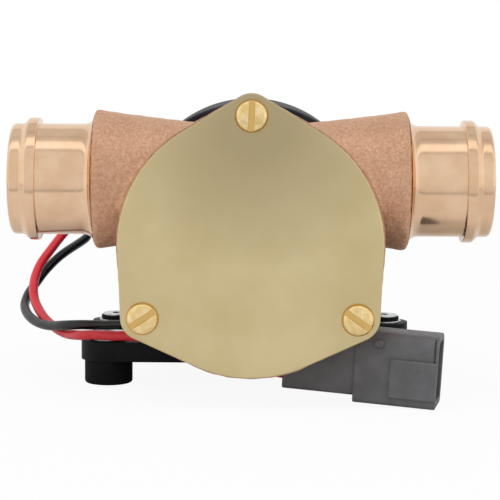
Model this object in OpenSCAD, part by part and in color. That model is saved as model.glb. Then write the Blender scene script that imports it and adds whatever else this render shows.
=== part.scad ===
// Flexible impeller pump with a direct-current motor, on a rubber-mounted base.
// X runs from the left port to the right port, Y from the end cover to the motor, Z up.
// The origin lies on the floor, at the centre of the four rubber feet.

/* [Stance] */
// Gap between the motor and the floor
motor_clear = 9; // [8:0.5:20]
// Distance from the centre of the feet forward to the front of the end cover
head_reach = 78; // [70:1:90]

/* [Pump chamber] */
// Bore of the impeller chamber
chamber_d = 65; // [58:0.5:66]
// Depth of the impeller chamber
chamber_l = 43; // [38:0.5:50]
// Wall of the body's barrel
barrel_wall = 4.5; // [3:0.5:5]
// Thickness of the wall behind the chamber
back_wall = 8; // [8:0.5:12]
// Depth of the flange ears that take the cover screws
flange_t = 5; // [4:0.5:5]
// Diameter of the register at the back of the body
register_d = 48; // [44:0.5:50]
// Length of the register
register_l = 2.5; // [2:0.25:4]

/* [End cover] */
// Radius of the round part of the cover
cover_r = 44; // [42:0.5:46]
// Thickness of the cover plate
cover_t = 3; // [2.5:0.25:4]
// Width of the bevel round the cover's front edge
cover_bevel = 0.5; // [0.3:0.1:1]
// Radius of each screw ear
ear_r = 7.4; // [6.6:0.2:8]
// Radius of the circle of cover screws
bolt_circle_r = 43; // [42:0.5:44]
// Thread diameter of a cover screw
screw_d = 6; // [5:0.5:6]
// Diameter of a cover screw's head
screw_head_d = 11; // [9:0.5:12]
// Height of a cover screw's head
screw_head_h = 3.2; // [2.5:0.1:4]
// Width of the screwdriver slot
screw_slot_w = 2; // [1:0.1:2.4]

/* [Ports] */
// Height of the port axis above the shaft axis
port_rise = 20; // [18:0.5:21]
// Distance of the port axis behind the front of the cover
port_depth = 30; // [27:0.5:31]
// Bore through each port
port_bore_d = 32; // [26:0.5:33]
// Outer diameter of the hose spigot
hose_d = 38; // [36:0.5:40]
// Diameter of the retaining bead
bead_d = 42; // [41:0.5:44]
// Diameter of a port boss at its outer end
boss_end_d = 48; // [46:0.5:49]
// Diameter of a port boss at its root
boss_root_d = 38.6; // [38:0.2:42]
// Distance from the centre plane to the end of a port boss
boss_reach = 53.5; // [52:0.5:58]
// Distance from the centre plane to the tip of a spigot
spigot_reach = 82; // [76:0.5:90]
// Length of the spigot from the bead's shoulder to its tip
nose_l = 9.5; // [8:0.5:12]

/* [Impeller and cam] */
// Number of impeller blades
blade_count = 8; // [6:1:9]
// Diameter of the rubber hub
rubber_hub_d = 27; // [25:0.5:30]
// Diameter of the brass insert in the hub
insert_d = 18; // [17:0.5:20]
// Thickness of a blade at its root
blade_root_t = 4; // [3:0.25:5]
// Thickness of a blade next to its tip
blade_tip_t = 2.6; // [2:0.2:3]
// Diameter of the bead at a blade's tip
blade_bead_d = 4.4; // [3.6:0.2:5]
// Depth of the cam at its middle
cam_rise = 5.2; // [3:0.2:6]
// Half width of the cam
cam_half_w = 14; // [12:0.5:15]

/* [Shaft and seal] */
// Diameter of the shaft through the pump and the front bearing
shaft_d = 12; // [10:0.5:12]
// Diameter of the shaft under the armature
armature_seat_d = 14; // [13:0.5:15]
// Diameter of the shaft in the rear bearing
rear_journal_d = 10; // [8:0.5:10]
// Outer diameter of the lip seal
seal_d = 22; // [20:0.5:24]
// Width of the lip seal
seal_w = 6; // [5:0.25:6]
// Diameter of the slinger ring
slinger_d = 20; // [17:0.5:24]

/* [Motor] */
// Outer diameter of the motor
motor_d = 92; // [90:0.5:94]
// Length of the front bracket
bracket_l = 12; // [11:0.5:14]
// Length of the steel yoke
yoke_l = 62; // [60:1:72]
// Length of the rear end cap
cap_l = 22; // [21:0.5:28]
// Wall of the yoke
yoke_wall = 4; // [3:0.25:4.5]
// Wall of the rear end cap
cap_wall = 3; // [2:0.25:4]
// Diameter of the armature
armature_d = 65; // [58:0.5:65]
// Length of the armature's iron
armature_l = 30; // [24:1:32]
// Number of armature slots
slot_count = 12; // [8:1:16]
// Diameter of the commutator
commutator_d = 26; // [22:0.5:27]
// Thickness of a magnet
magnet_t = 7.8; // [6:0.2:8]
// Length of a magnet
magnet_l = 40; // [34:1:42]

/* [Base] */
// Distance between the feet across the pump
feet_x = 102; // [98:1:110]
// Distance between the feet along the pump
feet_y = 48; // [40:1:52]
// Height of the base plate above the floor
base_lift = 8.8; // [8:0.1:9]
// Thickness of the base plate
base_t = 7; // [5:0.1:7]
// Radius of an ear of the base
base_ear_r = 9.8; // [9:0.1:11]
// Depth of the belly under the motor
belly_drop = 2.8; // [2:0.1:4]
// Diameter of a rubber foot
foot_d = 17.2; // [15:0.2:19]
// Diameter of the collar of a foot above its ear
collar_d = 13; // [12:0.2:15]
// Height of the collar above its ear
collar_h = 2.7; // [2:0.1:3.5]
// Bore through each foot for a mounting screw
mount_bore_d = 4.5; // [4:0.1:5]

/* [Leads and connector] */
// Outer diameter of a lead
lead_d = 3.5; // [3:0.1:3.6]
// Length of the connector's boot
boot_l = 24.5; // [22:0.5:30]
// Length of the connector's housing
housing_l = 28; // [24:0.5:29]
// Height of the housing
housing_h = 24.5; // [22:0.5:25]
// Thickness of the housing
housing_t = 17.5; // [15:0.5:19]
// Height of the boot where the leads enter
boot_end_h = 11.3; // [11:0.1:12]
// Height of the boot where it meets the housing
boot_root_h = 20.5; // [18:0.5:21]
// Thickness of the boot
boot_t = 15; // [13:0.5:16]

/* [Hidden] */
$fn = 96;

// Clearances and cuts
seat_gap = 0.02;
run_gap = 0.05;
slip_gap = 0.1;
side_gap = 0.4;
overrun = 1;

// Pump chamber, as depths behind the front of the cover
chamber_r = chamber_d / 2;
barrel_r = chamber_r + barrel_wall;
chamber_back = cover_t + chamber_l;
body_back = chamber_back + back_wall;
bolt_angles = [90, 214, 326];
ear_steps = 14;
rim_steps = 20;
slot_angles = [88, 34, -35];
ring_groove_w = 2.2;
ring_groove_depth = 2;
ring_d = 1.9;
ring_r = chamber_r + barrel_wall / 2;
edge_round = 0.8;

// End cover and its screws
screw_slot_depth = 1.4;
screw_shank_gap = 0.2;
screw_l = cover_t + flange_t - slip_gap;
screw_dome_r = (pow(screw_head_d / 2, 2) + pow(screw_head_h, 2)) / (2 * screw_head_h);
cover_hole_r = screw_d / 2 + screw_shank_gap;

// Ports
port_bore_r = port_bore_d / 2;
boss_root_at = 15;
port_start = cam_half_w - 2 * run_gap;
socket_l = 11.5;
socket_at = boss_reach - socket_l;
bead_at = spigot_reach - nose_l;
spigot_fillet = 1.8;
bead_w = 4.5;
nose_round = 2.2;
bore_chamfer = 0.6;

// Cam, a lens of brass between the ports
cam_face_r = chamber_r - cam_rise;
cam_edge_drop = sqrt(pow(chamber_r, 2) - pow(cam_half_w, 2)) - cam_face_r;
cam_arc_r = (pow(cam_half_w, 2) + pow(cam_edge_drop, 2)) / (2 * cam_edge_drop);
cam_arc_h = cam_face_r + cam_arc_r;
cam_screw_d = 5;
cam_screw_head_d = 8.5;
cam_screw_head_h = 3;
cam_screw_dip = 3.4;

// Wear plate and impeller
wear_plate_t = 1;
wear_plate_front = chamber_back - wear_plate_t - seat_gap;
impeller_front = cover_t + side_gap;
impeller_l = wear_plate_front - side_gap - impeller_front;
impeller_turn = 12;
blade_root_r = rubber_hub_d / 2 - overrun;
blade_tip_gap = 0.3;
blade_steps = 6;
first_lag = 15;
lag_rounds = 4;
blade_slack = 0.5;
blade_tip_r = chamber_r - blade_tip_gap - blade_bead_d / 2;
blade_l = blade_tip_r - blade_root_r + blade_slack;
key_w = 4;
key_l = 24;
key_h = 4;

// Shaft
shaft_r = shaft_d / 2;
shaft_front = impeller_front + 2 * side_gap;
shaft_chamfer = 0.6;

// Lip seal, pressed in from the chamber
seal_front = chamber_back + slip_gap;
seal_r = seal_d / 2;
seal_case_t = 1.6;
seal_lip_t = 1.4;
seal_spring_d = 1.3;
seal_spring_at = 3.4;
web_gap = 1;
web_hole_r = shaft_r + web_gap;
slinger_w = 2.4;

// Front bracket of the motor
motor_r = motor_d / 2;

// Height of the shaft axis above the floor
shaft_h = motor_r + motor_clear;
bracket_front = body_back;
bracket_back = bracket_front + bracket_l;
drip_r = 16;
drip_depth = 8;
drain_r = 2.5;
drain_at = bracket_front + (register_l + drip_depth) / 2;
slinger_front = bracket_front + register_l + side_gap;
groove_w = 0.9;
groove_depth = 0.7;
groove_count = 3;
groove_step = 2.6;
groove_first = 2.2;

// Ball bearings: bore, outside, width, ball, ball circle, all as diameters but the width
front_bearing_d = 32;
front_bearing_w = 10;
front_ball_d = 5.9;
front_ball_circle_d = 22;
rear_bearing_d = 30;
rear_bearing_w = 9;
rear_ball_d = 4.7;
rear_ball_circle_d = 20;
front_bearing = [shaft_d, front_bearing_d, front_bearing_w, front_ball_d, front_ball_circle_d];
rear_bearing = [rear_journal_d, rear_bearing_d, rear_bearing_w, rear_ball_d, rear_ball_circle_d];
ball_count = 7;
race_gap = 0.06;
ring_shoulder_share = 0.3;
cage_t = 1.6;
cage_rim = 0.7;
pocket_wall = 3.5;
pocket_lip = 1;
front_bearing_at = bracket_front + register_l + drip_depth + pocket_lip;
front_bearing_back = front_bearing_at + front_bearing_w;
front_pocket_r = front_bearing_d / 2 + seat_gap;
rear_pocket_r = rear_bearing_d / 2 + seat_gap;
washer_t = 0.5;

// Yoke, magnets and armature
yoke_back = bracket_back + yoke_l;
yoke_r = motor_r - yoke_wall;
cap_back = yoke_back + cap_l;
cap_step = 0.5;
cap_r = motor_r - cap_step;
cap_round = 5;
cap_bore_r = cap_r - cap_wall;
magnet_half_angle = 62;
winding_overhang = 6;
winding_gap = 1.5;
armature_front = front_bearing_back + pocket_lip + winding_gap + winding_overhang;
armature_back = armature_front + armature_l;
magnet_front = (armature_front + armature_back - magnet_l) / 2;
armature_r = armature_d / 2;
slot_w = 5;
slot_mouth_w = 2;
slot_floor_r = 19;
slot_top_r = 31;
slot_lining = 0.2;
winding_r = slot_top_r - slot_lining;
winding_in_r = slot_floor_r + slot_lining;
commutator_front = armature_back + winding_overhang + winding_gap / 3;
commutator_l = 12.6;
commutator_bars = 24;
bar_slit_w = 0.6;
bar_slit_depth = 1.6;
riser_w = 2;
riser_rise = 1;
riser_d = commutator_d + 2 * riser_rise;
core_bore_r = armature_seat_d / 2;
seat_front = front_bearing_back + pocket_lip / 2;

// Brush gear
brush_plate_t = 2;
brush_plate_front = commutator_front + commutator_l + 2 * side_gap;
brush_plate_r = cap_bore_r - slip_gap;
brush_w = 6;
brush_axial = 8;
brush_l = 12;
brush_gap = run_gap;
holder_wall = 1;
holder_foot_gap = 2;
holder_start = commutator_d / 2 + holder_foot_gap;
brush_start = commutator_d / 2 + brush_gap;
brush_spring_d = 4.6;
brush_spring_wire = 0.7;
brush_spring_l = 9;
holder_end = brush_start + brush_l + brush_spring_l + 4 * slip_gap + holder_wall;
brush_mid = brush_plate_front - holder_wall - slip_gap - brush_axial / 2;

// Rear end cap and the through bolts
rear_bearing_back = cap_back - cap_wall - washer_t - seat_gap;
rear_bearing_at = rear_bearing_back - rear_bearing_w;
through_bolt_d = 4;
through_clear = 0.7;
through_bolt_r = holder_end + through_bolt_d / 2 + through_clear;
through_turn = 20;
through_head_d = 7;
through_head_h = 3.6;
through_grip = 6;
pillar_r = 4.6;
bolt_gap = 0.15;
rear_pocket_wall = 3;

// Adaptor screws, in the wall behind the wear plate
adaptor_screw_d = 5;
adaptor_head_d = 8.5;
adaptor_head_h = 3.6;
adaptor_circle_r = register_d / 2 + adaptor_head_d / 2 + run_gap;
adaptor_grip = 9;
socket_af = 4;
socket_depth = 2;

// Grommet for the leads, on the left of the rear cap
grommet_shift = 1.5;
grommet_y = cap_back - cap_l / 2 + grommet_shift - head_reach;
grommet_rise = 5.5;
grommet_r = 4.6;
grommet_flange_r = 6.4;
grommet_flange_t = 1.8;
grommet_nose_r = 5;
grommet_stand = 5.5;
grommet_tail = 1.5;
grommet_out = cap_r + grommet_stand;
grommet_in = cap_bore_r - grommet_tail;
lead_pitch = 4.6;
lead_hole_r = lead_d / 2 + slip_gap;

// Base
base_half_y = feet_y / 2 + base_ear_r;
base_inset = 5;
base_half_x = feet_x / 2 - base_inset;
base_top = base_lift + base_t;
cradle_half_x = 40;
cradle_top = 27;
belly_half_x = 16;
saddle_r = motor_r + seat_gap;
neck_r = 4.4;
neck_gap = 0.1;
sleeve_r = 3.2;
sleeve_flange_r = 5.9;
sleeve_flange_t = 0.6;
foot_round = 1;
base_screw_x = 20;
base_screw_inset = 6;
base_screw_edge = 7.8;
base_screw_front = bracket_back - head_reach + base_screw_inset;
base_screw_rear = base_half_y - base_screw_edge;
base_screw_d = 4;
base_screw_head_d = 7.6;
base_screw_head_h = 2.4;
base_screw_bite = 1.4;

// Connector: tilted a little down to the right, its mouth turned to the front
connector_x = 12.3;
connector_y = -55.5;
connector_tilt = 3.3;
connector_yaw = 12;
housing_drop = 2.2;
connector_l = boot_l + housing_l;
connector_z = connector_l * sin(connector_tilt) + housing_drop * cos(connector_tilt) + seat_gap;
housing_bevel = 1.6;
housing_wall = 2.2;
mouth_depth = 15;
panel_start = 11.5;
panel_end = 26.4;
panel_low = 2.6;
panel_high = 14.2;
panel_t = 0.8;
mouth_slot_w = 1.3;
mouth_slot_at = 25.4;
mouth_slot_depth = 1.2;
latch_x = 7.5;
latch_l = 3;
latch_h = 2;
latch_z = 17.5;
latch_t = 0.7;
seal_block_l = 4;
seal_block_inset = 1.6;
pin_r = 0.8;
pin_l = 9;
pin_tail = 3;
pin_low = 7;
pin_high = 15;
wedge_l = 5;
wedge_gap = 0.15;

// The red lead's route, from the grommet to the connector
red_route = [
  [-51, 62, 62.8], [-51.6, 62, 62.8], [-57.5, 59.5, 61.5], [-63, 53.4, 58.4],
  [-67.8, 45.7, 54.2], [-71.7, 38.2, 49.9], [-74.5, 33, 46.5], [-77.7, 27.5, 42.1],
  [-80.7, 22.3, 37.7], [-82.2, 17, 33.5], [-82.4, 11.5, 29.4], [-81.2, 6, 25.4],
  [-78.9, 0.6, 22.4], [-76.2, -4.6, 20], [-72.9, -9.8, 18.3], [-69.5, -14.8, 17],
  [-65.8, -20, 16.6], [-61, -28, 17.5], [-55.7, -31.4, 18.2], [-49.2, -33.7, 18.3],
  [-42.2, -35, 18.4], [-35.7, -37.2, 17.9], [-29.2, -40.6, 16.6], [-22.4, -43.9, 14.6],
  [-15.3, -46.9, 12.9], [-8.3, -49.5, 11.5], [-1.3, -51.6, 10.5], [5.2, -53.4, 9.7],
  [12.44, -55.53, 9]
];

// The black lead's route
black_route = [
  [-51, 62, 58.2], [-51.5, 62, 58.2], [-57.3, 61.4, 57.3], [-60.9, 59.8, 55],
  [-63.1, 57.5, 51.9], [-64.4, 54.6, 48.7], [-65.4, 51.6, 45.9], [-66.6, 48.5, 44.2],
  [-72.6, 37.2, 40.6], [-76.2, 32.2, 37.8], [-79.8, 27, 34], [-82.6, 21.4, 30],
  [-84.8, 15.6, 26.6], [-85.4, 9.2, 23.5], [-84.1, 3, 21.5], [-81.6, -3, 20],
  [-77.9, -9, 19], [-73, -15.4, 19], [-67, -22, 20.2], [-60.5, -24.5, 20.8],
  [-53.6, -25.2, 20.8], [-46.6, -27, 21.2], [-40.1, -29.6, 21], [-34, -33.4, 20.2],
  [-27.6, -37.7, 19.1], [-20.7, -42, 17.7], [-13.6, -45.9, 16.5], [-6.6, -49.3, 15.5],
  [0.2, -52, 14.8], [6.2, -54, 14.3], [12.69, -55.58, 13.25]
];

// Real finishes
bronze = [0.76, 0.56, 0.46];
polished_bronze = [0.84, 0.68, 0.55];
brass = [0.74, 0.69, 0.50];
bright_brass = [0.86, 0.77, 0.55];
steel = [0.62, 0.63, 0.65];
black_paint = [0.16, 0.15, 0.17];
black_rubber = [0.08, 0.09, 0.10];
copper = [0.72, 0.43, 0.28];
carbon = [0.20, 0.20, 0.21];
ferrite = [0.30, 0.30, 0.32];
grey_plastic = [0.37, 0.37, 0.38];

function polar(r, a) = [r * cos(a), r * sin(a)];
function unit(v) = v / norm(v);

// Places things on the shaft axis at a depth behind the front of the cover
module on_shaft(depth) {
  translate([0, depth - head_reach, shaft_h]) children();
}

// A round bar along Y, from depth to depth + l
module rod(r, l, depth) {
  on_shaft(depth) rotate([-90, 0, 0]) cylinder(r = r, h = l);
}

// A flat outline, seen from the front, made a slab from depth to depth + t
module slab(t, depth) {
  on_shaft(depth + t) rotate([90, 0, 0]) linear_extrude(t) children();
}

// A profile in radius and depth, turned round the shaft axis
module turned() {
  on_shaft(0) rotate([-90, 0, 0]) rotate_extrude() children();
}

// Copies round the shaft axis, at a radius
module ring_of(angles, r) {
  for (a = angles) translate([r * cos(a), 0, r * sin(a)]) children();
}

module tube_rod(r, inner_r, l, depth) {
  difference() {
    rod(r, l, depth);
    rod(inner_r, l + 2 * overrun, depth - overrun);
  }
}

function arc(mid, r, from, to, steps) =
  [for (i = [0 : steps]) mid + polar(r, from + (to - from) * i / steps)];

// The three-eared outline that cover and body share: ear arcs and rim arcs joined by tangents
module eared(rim_r, lug_r) {
  spread = acos((rim_r - lug_r) / bolt_circle_r);
  last = len(bolt_angles) - 1;
  polygon([for (i = [0 : last])
    let (
      a = bolt_angles[i],
      next = i == last ? bolt_angles[0] + 360 : bolt_angles[i + 1]
    )
    each concat(
      arc(polar(bolt_circle_r, a), lug_r, a - spread, a + spread, ear_steps),
      arc([0, 0], rim_r, a + spread, next - spread, rim_steps)
    )]);
}

// One port boss, flared towards its end
module port_boss(side) {
  translate([0, port_depth - head_reach, shaft_h + port_rise])
    rotate([0, side * 90, 0])
      rotate_extrude()
        polygon([
          [0, 0], [boss_root_d / 2, 0], [boss_root_d / 2, boss_root_at],
          [boss_end_d / 2, boss_reach - edge_round],
          [boss_end_d / 2 - edge_round, boss_reach], [0, boss_reach]
        ]);
}

module port_rod(side, r, from, to) {
  translate([side * from, port_depth - head_reach, shaft_h + port_rise])
    rotate([0, side * 90, 0]) cylinder(r = r, h = to - from);
}

// Cast body: flange, barrel, back wall, register and the two port bosses
module pump_body() {
  color(bronze)
    difference() {
      union() {
        slab(flange_t, cover_t) eared(cover_r + edge_round, ear_r);
        rod(barrel_r, body_back - cover_t, cover_t);
        rod(register_d / 2, register_l + overrun, body_back - overrun);
        for (side = [-1, 1]) port_boss(side);
      }
      rod(chamber_r, chamber_l + overrun, cover_t - overrun);
      rod(seal_r + seat_gap, seal_w + slip_gap + overrun, chamber_back - overrun);
      rod(web_hole_r, back_wall + register_l + 2 * overrun, chamber_back - overrun);
      for (side = [-1, 1]) {
        port_rod(side, port_bore_r, port_start, boss_reach + overrun);
        port_rod(side, hose_d / 2 + run_gap, socket_at, boss_reach + overrun);
      }
      turned() translate([ring_r - ring_groove_w / 2, cover_t - overrun])
        square([ring_groove_w, ring_groove_depth + overrun]);
      ring_of(bolt_angles, bolt_circle_r)
        rod(screw_d / 2 + seat_gap, flange_t + 2 * overrun, cover_t - overrun);
      adaptor_places() {
        rod(adaptor_head_d / 2 + slip_gap, adaptor_head_h + overrun + slip_gap, chamber_back - overrun);
        rod(adaptor_screw_d / 2 + slip_gap, back_wall + 2 * overrun, chamber_back - overrun);
      }
      cam_screw_cut();
    }
}

module adaptor_places() {
  ring_of([45, 135, 225, 315], adaptor_circle_r) children();
}

// Hose spigot, screwed into its boss: fillet, tube, bead and rounded nose
module spigot(side) {
  r = hose_d / 2;
  color(polished_bronze)
    translate([0, port_depth - head_reach, shaft_h + port_rise])
      rotate([0, side * 90, 0])
        rotate_extrude()
          difference() {
            union() {
              polygon([
                [port_bore_r, socket_at + run_gap], [r, socket_at + run_gap],
                [r, bead_at - run_gap], [bead_d / 2, bead_at - run_gap],
                [bead_d / 2, bead_at + bead_w / 2], [r, bead_at + bead_w],
                [r, spigot_reach - nose_round], [port_bore_r, spigot_reach - nose_round]
              ]);
              translate([port_bore_r, spigot_reach - nose_round])
                square([r - nose_round - port_bore_r, nose_round]);
              translate([r - nose_round, spigot_reach - nose_round])
                intersection() {
                  circle(r = nose_round);
                  square(nose_round);
                }
              difference() {
                translate([port_bore_r, boss_reach])
                  square([r + spigot_fillet - port_bore_r, spigot_fillet]);
                translate([r + spigot_fillet, boss_reach + spigot_fillet])
                  circle(r = spigot_fillet);
              }
            }
            translate([port_bore_r, spigot_reach])
              rotate(45) square(bore_chamfer, center = true);
          }
}

module inlet_spigot() {
  spigot(-1);
}

module outlet_spigot() {
  spigot(1);
}

// Plate cover with a narrow bevelled rim
module end_cover() {
  color(brass)
    difference() {
      union() {
        slab(cover_bevel, 0) eared(cover_r - cover_bevel, ear_r - cover_bevel);
        slab(cover_t - cover_bevel, cover_bevel) eared(cover_r, ear_r);
      }
      ring_of(bolt_angles, bolt_circle_r)
        rod(cover_hole_r, cover_t + 2 * overrun, -overrun);
    }
}

// Slotted pan-head screws
module cover_screws() {
  color(bright_brass)
    for (i = [0 : len(bolt_angles) - 1])
      ring_of([bolt_angles[i]], bolt_circle_r)
        difference() {
          union() {
            rod(screw_d / 2, screw_l, 0);
            intersection() {
              on_shaft(screw_dome_r - screw_head_h) sphere(r = screw_dome_r);
              rod(screw_head_d / 2, screw_head_h, -screw_head_h);
            }
          }
          on_shaft(-screw_head_h)
            rotate([0, -slot_angles[i], 0])
              cube([2 * screw_head_d, 2 * screw_slot_depth, screw_slot_w], center = true);
        }
}

module cover_o_ring() {
  color(black_rubber)
    turned() translate([ring_r, cover_t + ring_groove_depth - ring_d / 2]) circle(d = ring_d);
}

module cam_outline() {
  intersection() {
    circle(r = chamber_r - seat_gap);
    translate([0, cam_arc_h]) circle(r = cam_arc_r);
  }
}

// Lens-shaped cam that bends the blades between the ports
module cam() {
  color(brass)
    difference() {
      slab(wear_plate_front - cover_t - 2 * slip_gap, cover_t + slip_gap) cam_outline();
      translate([0, port_depth - head_reach, shaft_h + cam_face_r + cam_rise - cam_screw_dip])
        cylinder(d = cam_screw_d + 2 * seat_gap, h = cam_rise);
    }
}

module cam_screw_cut() {
  translate([0, port_depth - head_reach, shaft_h + chamber_r - overrun])
    cylinder(d = cam_screw_d + 2 * slip_gap, h = boss_root_d);
  translate([0, port_depth - head_reach, shaft_h + port_rise + boss_root_d / 2 - cam_screw_head_h])
    cylinder(d = cam_screw_head_d + 2 * slip_gap, h = boss_root_d);
}

// Screw from the top of the body into the cam
module cam_screw() {
  foot = shaft_h + chamber_r - cam_screw_dip + slip_gap;
  head = shaft_h + port_rise + boss_root_d / 2 - cam_screw_head_h;
  color(bright_brass)
    difference() {
      translate([0, port_depth - head_reach, 0]) {
        translate([0, 0, foot]) cylinder(d = cam_screw_d, h = head - foot + overrun);
        translate([0, 0, head]) cylinder(d = cam_screw_head_d, h = cam_screw_head_h);
      }
      translate([0, port_depth - head_reach, head + cam_screw_head_h])
        cube([cam_screw_head_d + overrun, screw_slot_w / 2, screw_slot_depth * 2], center = true);
    }
}

module wear_plate() {
  color(steel)
    tube_rod(chamber_r - slip_gap, seal_r + overrun, wear_plate_t, wear_plate_front);
}

// Distance from the axis to the cam's face, or to the chamber's wall, at an angle
function wall_at(a) =
  let (
    reach = cam_arc_h * sin(a),
    rest = pow(reach, 2) - pow(cam_arc_h, 2) + pow(cam_arc_r, 2)
  )
  (reach > 0 && rest > 0) ? min(chamber_r, reach - sqrt(rest)) : chamber_r;

// The radius that a blade's tip can reach at an angle
function tip_at(a) =
  min([for (swing = [-6, 0, 6]) wall_at(a + swing)]) - blade_tip_gap - blade_bead_d / 2;

// How far a blade of fixed length trails when its tip is at radius r
function lag_at(r) =
  acos(min(1, (pow(blade_root_r, 2) + pow(r, 2) - pow(blade_l, 2)) / (2 * blade_root_r * r)));

function settled_lag(a, lag, rounds) =
  rounds < 1 ? lag : settled_lag(a, lag_at(tip_at(a - lag)), rounds - 1);

function bend(from, via, to, t) =
  pow(1 - t, 2) * from + 2 * t * (1 - t) * via + pow(t, 2) * to;

// One blade, thick at its root, bent back to fit under the wall or the cam
module blade(a) {
  lag = settled_lag(a, first_lag, lag_rounds);
  tip = polar(tip_at(a - lag), a - lag);
  root = polar(blade_root_r, a);
  via = polar((blade_root_r + tip_at(a - lag)) / 2 + blade_slack, a);
  middle = [for (i = [0 : blade_steps]) bend(root, via, tip, i / blade_steps)];
  side = [for (i = [0 : blade_steps])
    let (
      along = unit(middle[min(i + 1, blade_steps)] - middle[max(i - 1, 0)]),
      half = (blade_root_t + (blade_tip_t - blade_root_t) * i / blade_steps) / 2
    )
    [-along[1], along[0]] * half];
  polygon(concat(
    [for (i = [0 : blade_steps]) middle[i] + side[i]],
    [for (i = [blade_steps : -1 : 0]) middle[i] - side[i]]
  ));
  translate(tip) circle(d = blade_bead_d);
}

module impeller() {
  color(black_rubber)
    difference() {
      slab(impeller_l, impeller_front) {
        circle(d = rubber_hub_d);
        for (i = [0 : blade_count - 1]) blade(impeller_turn + i * 360 / blade_count);
      }
      rod(insert_d / 2 + seat_gap, impeller_l + 2 * overrun, impeller_front - overrun);
    }
}

module key_block(extra) {
  on_shaft(impeller_front + impeller_l / 2)
    translate([0, 0, shaft_r])
      cube([key_w + 2 * extra, key_l + 2 * extra, key_h + 2 * extra], center = true);
}

module impeller_insert() {
  color(brass)
    difference() {
      rod(insert_d / 2, impeller_l - 2 * side_gap, impeller_front + side_gap);
      rod(shaft_r + seat_gap, impeller_l + 2 * overrun, impeller_front - overrun);
      on_shaft(impeller_front + impeller_l / 2)
        translate([0, 0, shaft_r / 2 + key_h / 4 + seat_gap / 2])
          cube([key_w + 2 * seat_gap, impeller_l + 2 * overrun, shaft_r + key_h / 2 + seat_gap],
            center = true);
    }
}

module drive_key() {
  color(steel) key_block(0);
}

// Stepped shaft from the impeller to the rear bearing
module motor_shaft() {
  rear_r = rear_journal_d / 2;
  color(steel)
    difference() {
      turned()
        polygon([
          [0, shaft_front], [shaft_r - shaft_chamfer, shaft_front],
          [shaft_r, shaft_front + shaft_chamfer], [shaft_r, seat_front],
          [armature_seat_d / 2, seat_front],
          [armature_seat_d / 2, rear_bearing_at - 2 * side_gap],
          [rear_r, rear_bearing_at - 2 * side_gap],
          [rear_r, rear_bearing_back - shaft_chamfer],
          [rear_r - shaft_chamfer, rear_bearing_back], [0, rear_bearing_back]
        ]);
      key_block(seat_gap);
    }
}

// Lip seal with a stiffened rim, its lip on the shaft
module shaft_seal() {
  lip_r = shaft_r + run_gap;
  color(black_rubber)
    turned()
      polygon([
        [lip_r, seal_front], [lip_r + seal_lip_t, seal_front],
        [lip_r + seal_lip_t, seal_front + seal_w - seal_case_t],
        [seal_r - seal_case_t, seal_front + seal_w - seal_case_t],
        [seal_r - seal_case_t, seal_front], [seal_r, seal_front],
        [seal_r, seal_front + seal_w - slip_gap], [lip_r, seal_front + seal_w - slip_gap]
      ]);
}

// Garter spring round the lip
module seal_spring() {
  color(steel)
    turned()
      translate([shaft_r + run_gap + seal_lip_t + seat_gap + seal_spring_d / 2,
        seal_front + seal_spring_at / 2])
        circle(d = seal_spring_d);
}

module slinger() {
  color(black_rubber)
    tube_rod(slinger_d / 2, shaft_r + seat_gap, slinger_w, slinger_front);
}

// Front bracket: drip chamber with a drain, bearing pocket and grooved rim
module front_bracket() {
  pocket_r = front_pocket_r;
  color(black_paint)
    difference() {
      union() {
        rod(motor_r, bracket_l, bracket_front);
        rod(yoke_r - run_gap, bracket_l + pocket_lip, bracket_front);
        rod(pocket_r + pocket_wall, front_bearing_back + pocket_lip - bracket_front, bracket_front);
      }
      rod(register_d / 2 + run_gap, register_l + run_gap + overrun, bracket_front - overrun);
      rod(drip_r, drip_depth + overrun, bracket_front + register_l - overrun);
      rod(web_hole_r, bracket_l, bracket_front + overrun);
      rod(pocket_r, front_bearing_w + pocket_lip + overrun, front_bearing_at);
      translate([0, drain_at - head_reach, 0]) cylinder(r = drain_r, h = shaft_h);
      for (i = [0 : groove_count - 1])
        turned()
          translate([motor_r - groove_depth, bracket_front + groove_first + i * groove_step])
            square([groove_depth + overrun, groove_w]);
      adaptor_places()
        rod(adaptor_screw_d / 2 + seat_gap, adaptor_grip + slip_gap + overrun, bracket_front - overrun);
      through_places() rod(through_bolt_d / 2 + seat_gap, through_grip + overrun,
        bracket_back - through_grip);
    }
}

module through_places() {
  ring_of([through_turn, 180 + through_turn], through_bolt_r) children();
}

// Socket screws from the chamber's back wall into the bracket
module adaptor_screws() {
  head_at = chamber_back + slip_gap;
  color(steel)
    adaptor_places()
      difference() {
        union() {
          rod(adaptor_head_d / 2, adaptor_head_h, head_at);
          rod(adaptor_screw_d / 2, bracket_front + adaptor_grip - head_at, head_at);
        }
        on_shaft(head_at - overrun) rotate([-90, 0, 0])
          cylinder(d = socket_af, h = socket_depth + overrun, $fn = 6);
      }
}

// Rings, balls and cage of a ball bearing given as bore, outside, width, ball, ball circle
module race_cut(b, at) {
  turned() translate([b[4] / 2, at + b[2] / 2]) circle(r = b[3] / 2 + race_gap);
}

module bearing_outer(b, at) {
  color(steel)
    difference() {
      tube_rod(b[1] / 2, b[4] / 2 + b[3] * ring_shoulder_share, b[2], at);
      race_cut(b, at);
    }
}

module bearing_inner(b, at) {
  color(steel)
    difference() {
      tube_rod(b[4] / 2 - b[3] * ring_shoulder_share, b[0] / 2 + seat_gap, b[2], at);
      race_cut(b, at);
    }
}

module ball_places(b, at) {
  ring_of([for (i = [0 : ball_count - 1]) 90 + i * 360 / ball_count], b[4] / 2)
    on_shaft(at + b[2] / 2) children();
}

module bearing_balls(b, at) {
  color(steel) ball_places(b, at) sphere(d = b[3]);
}

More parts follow.
